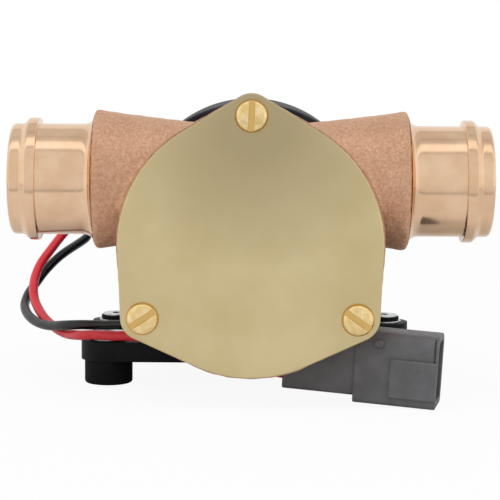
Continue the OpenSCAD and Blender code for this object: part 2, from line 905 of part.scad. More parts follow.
module bearing_cage(b, at) {
  cage_w = b[3] + 2 * cage_rim;
  color(brass)
    difference() {
      tube_rod(b[4] / 2 + cage_t / 2, b[4] / 2 - cage_t / 2, cage_w, at + (b[2] - cage_w) / 2);
      for (i = [0 : ball_count - 1])
        on_shaft(at + b[2] / 2)
          rotate([0, i * 360 / ball_count, 0])
            translate([0, 0, b[4] / 2 - cage_t]) cylinder(r = b[3] / 2 + race_gap, h = 2 * cage_t);
    }
}

module front_bearing_outer() {
  bearing_outer(front_bearing, front_bearing_at);
}

module front_bearing_inner() {
  bearing_inner(front_bearing, front_bearing_at);
}

module front_bearing_balls() {
  bearing_balls(front_bearing, front_bearing_at);
}

module front_bearing_cage() {
  bearing_cage(front_bearing, front_bearing_at);
}

module rear_bearing_outer() {
  bearing_outer(rear_bearing, rear_bearing_at);
}

module rear_bearing_inner() {
  bearing_inner(rear_bearing, rear_bearing_at);
}

module rear_bearing_balls() {
  bearing_balls(rear_bearing, rear_bearing_at);
}

module rear_bearing_cage() {
  bearing_cage(rear_bearing, rear_bearing_at);
}

// Spring washer between the rear bearing and the cap
module preload_washer() {
  color(steel)
    tube_rod(rear_bearing_d / 2 - slip_gap, rear_ball_circle_d / 2 + rear_ball_d * ring_shoulder_share,
      washer_t - seat_gap, rear_bearing_back + seat_gap / 2);
}

module motor_yoke() {
  color(black_paint)
    difference() {
      tube_rod(motor_r, yoke_r, yoke_l, bracket_back);
      base_screw_places() cylinder(d = base_screw_d + 2 * seat_gap, h = base_top + base_t);
    }
}

// Two curved ferrite magnets, above and below the armature
module magnets() {
  outer_r = yoke_r - slip_gap;
  color(ferrite)
    for (turn = [90, 270])
      slab(magnet_l, magnet_front)
        intersection() {
          difference() {
            circle(r = outer_r);
            circle(r = outer_r - magnet_t);
          }
          polygon(concat([[0, 0]],
            [for (step = [-1, -0.5, 0, 0.5, 1]) polar(2 * outer_r, turn + step * magnet_half_angle)]));
        }
}

module slot_cut(w, mouth, floor_r, top_r) {
  for (i = [0 : slot_count - 1])
    rotate(i * 360 / slot_count) {
      translate([floor_r, -w / 2]) square([top_r - floor_r, w]);
      translate([floor_r, -mouth / 2]) square([armature_r, mouth]);
    }
}

// Slotted iron core on the shaft
module armature_core() {
  color(steel)
    slab(armature_l, armature_front)
      difference() {
        circle(r = armature_r);
        circle(r = core_bore_r + seat_gap);
        slot_cut(slot_w, slot_mouth_w, slot_floor_r, slot_top_r);
      }
}

// Copper in the slots and round both ends
module armature_windings() {
  color(copper) {
    slab(armature_l + 2 * slip_gap, armature_front - slip_gap)
      for (i = [0 : slot_count - 1])
        rotate(i * 360 / slot_count)
          translate([winding_in_r, -slot_w / 2 + slot_lining])
            square([winding_r - winding_in_r, slot_w - 2 * slot_lining]);
    for (from = [armature_front - winding_overhang, armature_back + slip_gap])
      turned()
        translate([winding_in_r, from])
          square([winding_r - winding_in_r, winding_overhang - slip_gap]);
  }
}

// Segmented copper drum with a riser at the armature's end
module commutator() {
  color(copper)
    difference() {
      union() {
        rod(commutator_d / 2, commutator_l, commutator_front);
        rod(riser_d / 2, riser_w, commutator_front);
      }
      rod(core_bore_r + seat_gap, commutator_l + 2 * overrun, commutator_front - overrun);
      for (i = [0 : commutator_bars - 1])
        on_shaft(commutator_front)
          rotate([0, i * 360 / commutator_bars, 0])
            translate([commutator_d / 2 - bar_slit_depth, riser_w + overrun, -bar_slit_w / 2])
              cube([riser_d, commutator_l, bar_slit_w]);
    }
}

// Insulating plate that carries the brush gear
module brush_plate() {
  color(carbon)
    difference() {
      rod(brush_plate_r, brush_plate_t, brush_plate_front);
      rod(commutator_d / 2 + overrun, brush_plate_t + 2 * overrun, brush_plate_front - overrun);
      through_places() rod(pillar_r + slip_gap, brush_plate_t + 2 * overrun, brush_plate_front - overrun);
    }
}

module brush_box(side, from, to, extra) {
  translate([side * (from + to) / 2, brush_mid - head_reach, shaft_h])
    cube([to - from, brush_axial + 2 * extra, brush_w + 2 * extra], center = true);
}

module brush_holders() {
  color(brass)
    for (side = [-1, 1])
      difference() {
        brush_box(side, holder_start, holder_end, slip_gap + holder_wall);
        brush_box(side, holder_start - overrun, holder_end - holder_wall, slip_gap);
      }
}

// Carbon block, its inner face hollowed to the commutator
module brush(side) {
  color(carbon)
    difference() {
      brush_box(side, brush_start - overrun, brush_start + brush_l, 0);
      rod(brush_start, brush_axial + 2 * overrun, brush_mid - brush_axial / 2 - overrun);
    }
}

module left_brush() {
  brush(-1);
}

module right_brush() {
  brush(1);
}

module brush_spring(side) {
  start = brush_start + brush_l + slip_gap;
  color(steel)
    translate([side * start, brush_mid - head_reach, shaft_h])
      rotate([0, side * 90, 0])
        difference() {
          cylinder(d = brush_spring_d, h = brush_spring_l + 2 * slip_gap);
          translate([0, 0, -overrun])
            cylinder(d = brush_spring_d - 2 * brush_spring_wire, h = brush_spring_l + 3 * overrun);
        }
}

module left_brush_spring() {
  brush_spring(-1);
}

module right_brush_spring() {
  brush_spring(1);
}

// Domed rear cap with the rear bearing's pocket and two bolt pillars
module rear_end_cap() {
  boss_front = rear_bearing_at - overrun;
  color(black_paint)
    difference() {
      union() {
        difference() {
          turned()
            union() {
              translate([0, yoke_back]) square([cap_r, cap_l - cap_round]);
              translate([0, yoke_back]) square([cap_r - cap_round, cap_l]);
              translate([cap_r - cap_round, cap_back - cap_round])
                intersection() {
                  circle(r = cap_round);
                  square(cap_round);
                }
            }
          rod(cap_bore_r, cap_l - cap_wall + overrun, yoke_back - overrun);
        }
        rod(rear_pocket_r + rear_pocket_wall, cap_back - overrun - boss_front, boss_front);
        through_places() rod(pillar_r, cap_l - overrun, yoke_back);
      }
      rod(rear_pocket_r, cap_back - cap_wall - boss_front + overrun, boss_front - overrun);
      through_places() {
        rod(through_bolt_d / 2 + bolt_gap, cap_l + 2 * overrun, yoke_back - overrun);
        rod(through_head_d / 2 + bolt_gap, through_head_h + overrun, cap_back - through_head_h);
      }
      grommet_place() translate([-motor_r - overrun, 0, 0])
        rotate([0, 90, 0]) cylinder(r = grommet_r + seat_gap, h = cap_wall * 4);
    }
}

module through_bolts() {
  head_at = cap_back - through_head_h + slip_gap;
  start = bracket_back - through_grip + slip_gap;
  color(steel)
    through_places()
      difference() {
        union() {
          rod(through_bolt_d / 2, head_at - start + overrun, start);
          rod(through_head_d / 2, through_head_h - 2 * slip_gap, head_at);
        }
        on_shaft(head_at + through_head_h) rotate([90, 0, 0])
          cylinder(d = socket_af, h = socket_depth, $fn = 6);
      }
}

module grommet_place() {
  translate([0, grommet_y, shaft_h + grommet_rise]) children();
}

// Rubber grommet with the two leads' holes
module lead_grommet() {
  wall_out = sqrt(pow(cap_r, 2) - pow(grommet_rise - grommet_flange_r, 2));
  color(black_rubber)
    grommet_place()
      difference() {
        union() {
          translate([-grommet_out, 0, 0])
            rotate([0, 90, 0]) cylinder(r1 = grommet_nose_r, r2 = grommet_flange_r,
              h = grommet_out - wall_out - seat_gap);
          translate([-wall_out - grommet_flange_t, 0, 0])
            rotate([0, 90, 0]) cylinder(r = grommet_r, h = wall_out + grommet_flange_t - grommet_in);
        }
        for (side = [-1, 1])
          translate([-grommet_in - cap_wall, 0, side * lead_pitch / 2])
            rotate([0, 90, 0]) cylinder(r = lead_hole_r, h = grommet_out);
      }
}

module feet_places() {
  for (x = [-1, 1])
    for (y = [-1, 1])
      translate([x * feet_x / 2, y * feet_y / 2, 0]) children();
}

module base_screw_places() {
  for (x = [-1, 1])
    for (y = [base_screw_front, base_screw_rear])
      translate([x * base_screw_x, y, 0]) children();
}

// Moulded base: ears for the feet, a cradle for the motor and a belly below it
module motor_base() {
  cradle_start = bracket_front - head_reach + overrun;
  color(black_rubber)
    difference() {
      union() {
        translate([0, 0, base_lift])
          linear_extrude(base_t) {
            square([2 * base_half_x, 2 * base_half_y], center = true);
            for (x = [-1, 1])
              for (y = [-1, 1]) {
                translate([x * feet_x / 2, y * feet_y / 2]) circle(r = base_ear_r);
                translate([x * (base_half_x + feet_x / 2) / 2, y * feet_y / 2])
                  square([feet_x / 2 - base_half_x, 2 * base_ear_r], center = true);
              }
          }
        translate([-cradle_half_x, cradle_start, base_lift])
          cube([2 * cradle_half_x, base_half_y - cradle_start, cradle_top - base_lift]);
        translate([-belly_half_x, -base_half_y, base_lift - belly_drop])
          cube([2 * belly_half_x, 2 * base_half_y, base_t]);
      }
      rod(saddle_r, cap_back, bracket_front - seat_gap);
      rod(barrel_r + side_gap, bracket_front, 0);
      feet_places() cylinder(r = neck_r + neck_gap, h = base_top + overrun);
      base_screw_places() {
        cylinder(d = base_screw_d + 2 * slip_gap, h = base_top + base_t);
        cylinder(d = base_screw_head_d + 2 * slip_gap, h = base_lift + base_screw_head_h + slip_gap);
      }
      translate([0, drain_at - head_reach, 0]) cylinder(r = drain_r, h = base_top);
    }
}

module base_screws() {
  color(steel)
    base_screw_places()
      difference() {
        translate([0, 0, base_lift]) {
          cylinder(d = base_screw_head_d, h = base_screw_head_h);
          cylinder(d = base_screw_d, h = base_t + base_screw_bite - slip_gap);
        }
        translate([0, 0, base_lift - overrun])
          cylinder(d = socket_af, h = socket_depth, $fn = 6);
      }
}

// Rubber foot: lower pad, neck through the ear and collar above it
module rubber_feet() {
  foot_r = foot_d / 2;
  color(black_rubber)
    feet_places()
      rotate_extrude()
        polygon([
          [sleeve_r + seat_gap, 0], [foot_r - foot_round, 0], [foot_r, foot_round],
          [foot_r, base_lift - seat_gap], [neck_r, base_lift - seat_gap],
          [neck_r, base_top + seat_gap], [collar_d / 2, base_top + seat_gap],
          [collar_d / 2, base_top + collar_h - sleeve_flange_t],
          [sleeve_r + seat_gap, base_top + collar_h - sleeve_flange_t]
        ]);
}

// Flanged steel sleeve through each foot
module foot_sleeves() {
  top = base_top + collar_h;
  color(steel)
    feet_places()
      rotate_extrude()
        polygon([
          [mount_bore_d / 2, side_gap], [sleeve_r, side_gap],
          [sleeve_r, top - sleeve_flange_t + seat_gap],
          [sleeve_flange_r, top - sleeve_flange_t + seat_gap],
          [sleeve_flange_r, top], [mount_bore_d / 2, top]
        ]);
}

function heading(p, i) = unit(p[min(i + 1, len(p) - 1)] - p[max(i - 1, 0)]);

// Square directions at each point, carried along so that the tube doesn't twist
function carried(p, i, up) =
  i >= len(p) ? [] :
  let (
    t = heading(p, i),
    n = unit(up - t * (up * t))
  )
  concat([[n, cross(t, n)]], carried(p, i + 1, n));

// A round lead along a route
module lead(route) {
  sides = 8;
  last = len(route) - 1;
  dirs = carried(route, 0, [0, 0, 1]);
  points = [for (i = [0 : last]) for (k = [0 : sides - 1])
    route[i] + lead_d / 2 * (cos(k * 360 / sides) * dirs[i][0] + sin(k * 360 / sides) * dirs[i][1])];
  walls = [for (i = [0 : last - 1]) for (k = [0 : sides - 1])
    let (
      a = i * sides + k,
      b = i * sides + (k + 1) % sides
    )
    each [[a, a + sides, b], [b, a + sides, b + sides]]];
  caps = [[for (k = [0 : sides - 1]) k], [for (k = [sides - 1 : -1 : 0]) last * sides + k]];
  polyhedron(points, concat(walls, caps));
}

module red_lead() {
  color("firebrick") lead(red_route);
}

module black_lead() {
  color([0.10, 0.11, 0.12]) lead(black_route);
}

module at_connector() {
  translate([connector_x, connector_y, connector_z])
    rotate([0, connector_tilt, -connector_yaw]) children();
}

// An outline in length and height, made a plate of thickness t round the middle plane
module standing(t) {
  translate([0, t / 2, 0]) rotate([90, 0, 0]) linear_extrude(t) children();
}

// Tapered boot behind the housing
module connector_boot() {
  color(grey_plastic)
    at_connector()
      difference() {
        standing(boot_t)
          polygon([[0, 0], [boot_l, 0], [boot_l, boot_root_h], [0, boot_end_h]]);
        translate([-overrun, 0, 0]) standing(boot_t - 2 * seal_block_inset)
          polygon([
            [0, seal_block_inset], [seal_block_l + overrun, seal_block_inset],
            [seal_block_l + overrun, boot_end_h - seal_block_inset],
            [0, boot_end_h - seal_block_inset]
          ]);
      }
}

module connector_seal() {
  color("orangered")
    at_connector()
      translate([slip_gap, 0, 0])
        standing(boot_t - 2 * seal_block_inset - 2 * seat_gap)
          polygon([
            [0, seal_block_inset + seat_gap], [seal_block_l - 2 * slip_gap, seal_block_inset + seat_gap],
            [seal_block_l - 2 * slip_gap, boot_end_h - seal_block_inset - seat_gap],
            [0, boot_end_h - seal_block_inset - seat_gap]
          ]);
}

module housing_outline(inset) {
  low = -housing_drop + inset;
  high = housing_h - housing_drop - inset;
  half = housing_t / 2 - inset;
  bevel = max(housing_bevel - inset / 2, 0);
  polygon([
    [-half + bevel, low], [half - bevel, low], [half, low + bevel], [half, high - bevel],
    [half - bevel, high], [-half + bevel, high], [-half, high - bevel], [-half, low + bevel]
  ]);
}

module housing_block(from, to, inset) {
  translate([from, 0, 0]) rotate([90, 0, 90]) linear_extrude(to - from) housing_outline(inset);
}

// Housing with a mouth at its end, a raised panel on each face and a small latch
module connector_housing() {
  start = boot_l + seat_gap;
  color(grey_plastic)
    at_connector()
      difference() {
        union() {
          housing_block(start, connector_l, 0);
          standing(housing_t + 2 * panel_t)
            polygon([
              [start + panel_start, panel_low - housing_drop], [start + panel_end, panel_low - housing_drop],
              [start + panel_end, panel_high - housing_drop], [start + panel_start, panel_high - housing_drop]
            ]);
          translate([start + latch_x, -housing_t / 2 - latch_t, latch_z - housing_drop])
            cube([latch_l, housing_t / 2, latch_h]);
        }
        housing_block(connector_l - mouth_depth, connector_l + overrun, housing_wall);
        translate([start + mouth_slot_at, -housing_t / 2 - panel_t - overrun, panel_high - housing_drop])
          cube([mouth_slot_w, mouth_slot_depth + panel_t + overrun, housing_h]);
        for (h = [pin_low, pin_high])
          translate([connector_l - mouth_depth - pin_tail, 0, h - housing_drop])
            rotate([0, 90, 0]) cylinder(r = pin_r + seat_gap, h = mouth_depth);
      }
}

module connector_pins() {
  color(steel)
    at_connector()
      for (h = [pin_low, pin_high])
        translate([connector_l - mouth_depth - pin_tail + slip_gap, 0, h - housing_drop])
          rotate([0, 90, 0]) cylinder(r = pin_r, h = pin_tail + pin_l);
}

// Wedge that locks the pins, at the bottom of the mouth
module connector_wedge() {
  color("orange")
    at_connector()
      difference() {
        housing_block(connector_l - mouth_depth + seat_gap, connector_l - mouth_depth + wedge_l,
          housing_wall + wedge_gap);
        for (h = [pin_low, pin_high])
          translate([connector_l - mouth_depth - overrun, 0, h - housing_drop])
            rotate([0, 90, 0]) cylinder(r = pin_r + slip_gap, h = mouth_depth);
      }
}

pump_body();
inlet_spigot();
outlet_spigot();
end_cover();
cover_screws();
cover_o_ring();
cam();
cam_screw();
wear_plate();
impeller();
impeller_insert();
drive_key();
motor_shaft();
shaft_seal();
seal_spring();
slinger();
front_bracket();
adaptor_screws();
front_bearing_outer();
front_bearing_inner();
front_bearing_balls();
front_bearing_cage();
rear_bearing_outer();
rear_bearing_inner();
rear_bearing_balls();
rear_bearing_cage();
preload_washer();
motor_yoke();
magnets();
armature_core();
armature_windings();
commutator();
brush_plate();
brush_holders();
left_brush();
right_brush();
left_brush_spring();
right_brush_spring();
rear_end_cap();
through_bolts();
lead_grommet();
motor_base();
base_screws();
rubber_feet();
foot_sleeves();
red_lead();
black_lead();
connector_boot();
connector_housing();
connector_seal();
connector_pins();
connector_wedge();
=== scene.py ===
import bmesh
import bpy
import numpy as np
from mathutils import Euler, Matrix


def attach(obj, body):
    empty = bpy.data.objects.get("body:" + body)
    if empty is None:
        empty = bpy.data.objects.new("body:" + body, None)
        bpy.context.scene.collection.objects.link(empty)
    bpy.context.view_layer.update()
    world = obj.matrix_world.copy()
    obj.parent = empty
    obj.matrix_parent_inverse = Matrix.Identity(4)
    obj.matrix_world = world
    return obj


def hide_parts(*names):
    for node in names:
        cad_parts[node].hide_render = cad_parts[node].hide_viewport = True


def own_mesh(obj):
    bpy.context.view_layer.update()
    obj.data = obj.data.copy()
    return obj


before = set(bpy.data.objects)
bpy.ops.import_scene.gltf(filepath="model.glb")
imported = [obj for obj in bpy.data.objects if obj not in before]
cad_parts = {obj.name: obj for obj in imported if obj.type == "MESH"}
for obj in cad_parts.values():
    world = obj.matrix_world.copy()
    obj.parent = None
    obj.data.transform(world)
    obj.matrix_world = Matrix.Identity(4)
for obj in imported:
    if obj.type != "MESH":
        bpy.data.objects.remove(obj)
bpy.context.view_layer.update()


# The studio: a pale table under one broad soft lamp, with white paper behind the pump and a dimmer
# room in front. Polished bronze shows the room as level bands, with a bright strip from overhead.
scene = bpy.context.scene
scene.view_settings.view_transform = "Standard"

# Bands of the room: how far each is turned up, in degrees from straight ahead of the cover over the
# top to the back, and how bright it is
room_bands = [(-180, 0.9), (-120, 0.75), (-90, 0.7), (-40, 0.72), (-25, 0.72), (-22.5, 0.5), (-20, 0.5),
              (-17, 0.78), (0, 0.84), (24, 0.86), (62, 0.84), (64.5, 0.56), (67.5, 0.8), (70, 1.28),
              (86, 1.22), (89, 0.72), (99, 0.68), (101.5, 0.5), (104, 0.72), (125, 0.74), (129, 0.55),
              (133, 0.93), (180, 0.93)]
card_inner, card_outer, card_light = 0.62, 0.9, (1.02, 1.0, 0.97, 1)
white = (1, 1, 1, 1)

world = bpy.data.worlds.new("studio_room")
scene.world = world
world.use_nodes = True
room = world.node_tree
room.nodes.clear()


def room_step(kind, *values, **settings):
    """One node of the room's light, with its inputs linked or set in order."""
    node = room.nodes.new(kind)
    for name, value in settings.items():
        setattr(node, name, value)
    for socket, value in zip(node.inputs, values):
        if isinstance(value, bpy.types.NodeSocket):
            room.links.new(value, socket)
        elif value is not None:
            socket.default_value = value
    return node


def blended(tree, share, first, second):
    """One colour passing into another by a share from 0 to 1. Each of them is linked or set."""
    mix = tree.nodes.new("ShaderNodeMix")
    mix.data_type = "RGBA"
    for place, value in zip((0, 6, 7), (share, first, second)):
        if isinstance(value, bpy.types.NodeSocket):
            tree.links.new(value, mix.inputs[place])
        else:
            mix.inputs[place].default_value = value
    return mix.outputs[2]


facing = room_step("ShaderNodeTexCoord").outputs["Generated"]
split = room_step("ShaderNodeSeparateXYZ", facing)
ahead = room_step("ShaderNodeMath", split.outputs["Y"], -1.0, operation="MULTIPLY").outputs[0]
height = room_step("ShaderNodeMath", split.outputs["Z"], ahead, operation="ARCTAN2").outputs[0]
share = room_step("ShaderNodeMath", height, 0.5 / np.pi, 0.5, operation="MULTIPLY_ADD").outputs[0]
bands = room_step("ShaderNodeValToRGB", share)
stops = bands.color_ramp.elements
for turned_up, light in room_bands[1:-1]:
    stops.new(turned_up / 360 + 0.5).color = (light, light, light, 1)
for stop, (_, light) in ((stops[0], room_bands[0]), (stops[-1], room_bands[-1])):
    stop.color = (light, light, light, 1)
sideways = room_step("ShaderNodeMath", split.outputs["X"], operation="ABSOLUTE").outputs[0]
card = room_step("ShaderNodeMapRange", sideways, card_inner, card_outer, 0.0, 1.0,
                 interpolation_type="SMOOTHSTEP")
with_cards = blended(room, card.outputs[0], bands.outputs["Color"], card_light)
seen = room_step("ShaderNodeLightPath").outputs["Is Camera Ray"]
sky = room_step("ShaderNodeBackground", blended(room, seen, with_cards, white), 1.0)
room_step("ShaderNodeOutputWorld", sky.outputs[0])

lamp = bpy.data.objects.new("soft_lamp", bpy.data.lights.new("soft_lamp", "AREA"))
lamp.data.shape = "RECTANGLE"
lamp.data.size, lamp.data.size_y = 0.9, 0.5
lamp.data.energy = 3.2
lamp.location = (-0.15, -0.35, 0.85)
lamp.rotation_euler = Euler((np.radians(24), 0, np.radians(-14)))
lamp.visible_glossy = False
scene.collection.objects.link(lamp)

table_grey, table_bleach = (0.7, 0.7, 0.7, 1), 0.93
table_points = [(-0.9, -0.23, 0), (0.9, -0.23, 0), (0.9, 0.9, 0), (-0.9, 0.9, 0)]
table = bpy.data.objects.new("table", bpy.data.meshes.new("table"))
table.data.from_pydata(table_points, [], [(0, 1, 2, 3)])
scene.collection.objects.link(table)
table_paint = bpy.data.materials.new("table_paint")
table_paint.use_nodes = True
nodes, links = table_paint.node_tree.nodes, table_paint.node_tree.links
nodes["Principled BSDF"].inputs["Base Color"].default_value = table_grey
nodes["Principled BSDF"].inputs["Roughness"].default_value = 0.9
glow = nodes.new("ShaderNodeEmission")
glow.inputs["Strength"].default_value = 1.0
ray = nodes.new("ShaderNodeLightPath")
kept = nodes.new("ShaderNodeMath")
kept.operation = "MULTIPLY"
kept.inputs[1].default_value = table_bleach
over = nodes.new("ShaderNodeMixShader")
links.new(ray.outputs["Is Camera Ray"], kept.inputs[0])
links.new(kept.outputs[0], over.inputs[0])
links.new(nodes["Principled BSDF"].outputs[0], over.inputs[1])
links.new(glow.outputs[0], over.inputs[2])
links.new(over.outputs[0], nodes["Material Output"].inputs["Surface"])
table.data.materials.append(table_paint)


# The camera stands 6 degrees above the shaft, square to the cover, and leans by less than half a
# degree, as the photograph's does.
aim = np.array([0, -0.078, 0.055])
above, lean, away = np.radians(6), np.radians(0.4), 0.592
camera = bpy.data.objects.new("camera", bpy.data.cameras.new("camera"))
camera.data.lens = 129.6
camera.data.sensor_width = 36
camera.data.shift_x, camera.data.shift_y = -0.0014, -0.006
camera.data.clip_start = 0.01
facing_cover = Euler((np.pi / 2 - above, 0, 0)).to_matrix() @ Matrix.Rotation(lean, 3, "Z")
camera.matrix_world = Matrix.Translation(
    (aim + away * np.array([0, -np.cos(above), np.sin(above)])).tolist()) @ facing_cover.to_4x4()
scene.collection.objects.link(camera)
scene.camera = camera


# The two leads: 3.5 mm stranded wire in soft PVC, one red and one black. They come out of the
# grommet on the motor's left side, loop forward and down, and run under the head to the connector.
lead_radius = 1.75
same_spot = 2e-7
red_route = [
    (-51, 62, 62.8), (-51.6, 62, 62.8), (-57.5, 59.5, 61.5), (-63, 53.4, 58.4),
    (-67.8, 45.7, 54.2), (-71.7, 38.2, 49.9), (-74.5, 33, 46.5), (-77.7, 27.5, 42.1),
    (-80.7, 22.3, 37.7), (-82.2, 17, 33.5), (-82.4, 11.5, 29.4), (-81.2, 6, 25.4),
    (-78.9, 0.6, 22.4), (-76.2, -4.6, 20), (-72.9, -9.8, 18.3), (-69.5, -14.8, 17),
    (-65.8, -20, 16.6), (-61, -28, 17.5), (-55.7, -31.4, 18.2), (-49.2, -33.7, 18.3),
    (-42.2, -35, 18.4), (-35.7, -37.2, 17.9), (-29.2, -40.6, 16.6), (-22.4, -43.9, 14.6),
    (-15.3, -46.9, 12.9), (-8.3, -49.5, 11.5), (-1.3, -51.6, 10.5), (5.2, -53.4, 9.7),
    (12.44, -55.53, 9)]
black_route = [
    (-51, 62, 58.2), (-51.5, 62, 58.2), (-57.3, 61.4, 57.3), (-60.9, 59.8, 55),
    (-63.1, 57.5, 51.9), (-64.4, 54.6, 48.7), (-65.4, 51.6, 45.9), (-66.6, 48.5, 44.2),
    (-72.6, 37.2, 40.6), (-76.2, 32.2, 37.8), (-79.8, 27, 34), (-82.6, 21.4, 30),
    (-84.8, 15.6, 26.6), (-85.4, 9.2, 23.5), (-84.1, 3, 21.5), (-81.6, -3, 20),
    (-77.9, -9, 19), (-73, -15.4, 19), (-67, -22, 20.2), (-60.5, -24.5, 20.8),
    (-53.6, -25.2, 20.8), (-46.6, -27, 21.2), (-40.1, -29.6, 21), (-34, -33.4, 20.2),
    (-27.6, -37.7, 19.1), (-20.7, -42, 17.7), (-13.6, -45.9, 16.5), (-6.6, -49.3, 15.5),
    (0.2, -52, 14.8), (6.2, -54, 14.3), (12.69, -55.58, 13.25)]


def smooth_path(route, per_step=8):
    """A curve through every point of a route. Between two points it is the cubic whose slopes there
    are half the way from the point before to the point after."""
    p = np.array(route, float)
    p = np.vstack([2 * p[0] - p[1], p, 2 * p[-1] - p[-2]])
    t = np.linspace(0, 1, per_step, endpoint=False)[None, :, None]
    a, b, c, d = (p[k:len(p) - 3 + k, None] for k in range(4))
    curve = 0.5 * (2 * b + (c - a) * t + (2 * a - 5 * b + 4 * c - d) * t ** 2
                   + (3 * b - a - 3 * c + d) * t ** 3)
    return np.vstack([curve.reshape(-1, 3), p[-2]])


def skin(grid, loop=False):
    """A closed skin over a grid of points, rows by columns. The columns join round. The rows join
    round too in a loop, and otherwise the first and last row each get one flat face."""
    rows, columns = grid.shape[:2]
    index = np.arange(rows * columns).reshape(rows, columns)
    here, there = (index, np.roll(index, -1, axis=0)) if loop else (index[:-1], index[1:])
    quads = np.stack([here, np.roll(here, -1, axis=1), np.roll(there, -1, axis=1), there], axis=-1)
    faces = quads.reshape(-1, 4).tolist()
    if not loop:
        faces += [index[0][::-1].tolist(), index[-1].tolist()]
    return grid.reshape(-1, 3), faces


def tube_along(path, radius, sides=20):
    """A round tube: at each point of the path, a circle square to it, started from the side that
    points most upward."""
    heading = np.gradient(path, axis=0)
    heading /= np.linalg.norm(heading, axis=1, keepdims=True)
    up = np.array([0, 0, 1.0]) - heading * heading[:, 2:]
    up /= np.linalg.norm(up, axis=1, keepdims=True)
    across = np.cross(heading, up)
    turn = np.linspace(0, 2 * np.pi, sides, endpoint=False)[None, :, None]
    return path[:, None] + radius * (np.cos(turn) * up[:, None] + np.sin(turn) * across[:, None])


def shade(mesh, crease):
    """Smooth shading, with edges sharper than the crease angle left crisp."""
    mesh.shade_smooth()
    mesh.set_sharp_from_angle(angle=np.radians(crease))


def closed_mesh(name, points, faces):
    """A mesh out of closed skins in millimetres. Points that coincide become one, and every skin is
    turned to face outwards."""
    mesh = bpy.data.meshes.new(name)
    mesh.from_pydata((points / 1000).tolist(), [], faces)
    shape = bmesh.new()
    shape.from_mesh(mesh)
    bmesh.ops.remove_doubles(shape, verts=shape.verts, dist=same_spot)
    bmesh.ops.recalc_face_normals(shape, faces=shape.faces)
    shape.to_mesh(mesh)
    shape.free()
    return mesh


def make_piece(name, skins, finish, body, slot, *nodes, crease=30):
    """One object out of closed skins. It rides on a body, takes the finish given and stands for the
    nodes named. The slot is not used."""
    points, faces, start = [], [], 0
    for some_points, some_faces in skins:
        points.append(some_points)
        faces += [[start + k for k in face] for face in some_faces]
        start += len(some_points)
    mesh = closed_mesh(name, np.concatenate(points), faces)
    shade(mesh, crease)
    mesh.materials.append(finish)
    piece = bpy.data.objects.new(name, mesh)
    scene.collection.objects.link(piece)
    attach(piece, body)
    if nodes:
        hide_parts(*nodes)
    return piece


def photo_colour(red, green, blue):
    """A colour from 0 to 255, as it looks in a photograph, turned into the light it stands for."""
    seen_as = np.array([red, green, blue]) / 255
    light = np.where(seen_as <= 0.04045, seen_as / 12.92, ((seen_as + 0.055) / 1.055) ** 2.4)
    return (*light.tolist(), 1.0)


def new_finish(name, colour, metallic=0.0, roughness=0.5):
    """A material with one shader, with its colour, metal share and roughness set."""
    finish = bpy.data.materials.new(name)
    finish.use_nodes = True
    shader = finish.node_tree.nodes["Principled BSDF"]
    shader.inputs["Base Color"].default_value = colour
    shader.inputs["Metallic"].default_value = metallic
    shader.inputs["Roughness"].default_value = roughness
    return finish, finish.node_tree, shader


def own_place(tree):
    """Where a point lies in the object's own frame, in metres."""
    return tree.nodes.new("ShaderNodeTexCoord").outputs["Object"]


def speckle(tree, across, detail=2.0, stretch=(1, 1, 1), centre=(0, 0, 0)):
    """A noise fixed to the object, with spots that many millimetres across, drawn out or squeezed
    along X, Y and Z by stretch."""
    mapping = tree.nodes.new("ShaderNodeMapping")
    mapping.vector_type = "POINT"
    mapping.inputs["Location"].default_value = centre
    mapping.inputs["Scale"].default_value = [1000.0 / (across * s) for s in stretch]
    noise = tree.nodes.new("ShaderNodeTexNoise")
    noise.inputs["Scale"].default_value = 1.0
    noise.inputs["Detail"].default_value = detail
    tree.links.new(own_place(tree), mapping.inputs["Vector"])
    tree.links.new(mapping.outputs["Vector"], noise.inputs["Vector"])
    return noise.outputs["Fac"]


def graded(tree, value, low, high, start=0.35, stop=0.65):
    """A ramp from one colour to another over part of a value's way from 0 to 1."""
    ramp = tree.nodes.new("ShaderNodeValToRGB")
    ramp.color_ramp.elements[0].position = start
    ramp.color_ramp.elements[0].color = low
    ramp.color_ramp.elements[1].position = stop
    ramp.color_ramp.elements[1].color = high
    tree.links.new(value, ramp.inputs["Fac"])
    return ramp.outputs["Color"]


def ranged(tree, value, low, high, start=0.3, stop=0.7):
    """A number from low to high as a value goes from start to stop."""
    spread = tree.nodes.new("ShaderNodeMapRange")
    for place, number in zip((1, 2, 3, 4), (start, stop, low, high)):
        spread.inputs[place].default_value = number
    tree.links.new(value, spread.inputs[0])
    return spread.outputs[0]


def dented(tree, shader, value, depth):
    """Lets a value stand out as relief of that many millimetres, over any relief already there."""
    relief = tree.nodes.new("ShaderNodeBump")
    relief.inputs["Distance"].default_value = depth / 1000
    tree.links.new(value, relief.inputs["Height"])
    if shader.inputs["Normal"].is_linked:
        tree.links.new(shader.inputs["Normal"].links[0].from_socket, relief.inputs["Normal"])
    tree.links.new(relief.outputs["Normal"], shader.inputs["Normal"])


def lead_insulation(name, colour, worn):
    """Extruded PVC: an even colour that pales a little where it was handled, a soft sheen and a
    very slight waviness along the wire."""
    finish, tree, shader = new_finish(name, colour, roughness=0.36)
    tree.links.new(graded(tree, speckle(tree, 9, 3), colour, worn, 0.4, 0.8),
                   shader.inputs["Base Color"])
    tree.links.new(ranged(tree, speckle(tree, 2.5, 3), 0.28, 0.44), shader.inputs["Roughness"])
    dented(tree, shader, speckle(tree, 5, 1), 0.12)
    shader.inputs["Coat Weight"].default_value = 0.15
    shader.inputs["Coat Roughness"].default_value = 0.3
    return finish


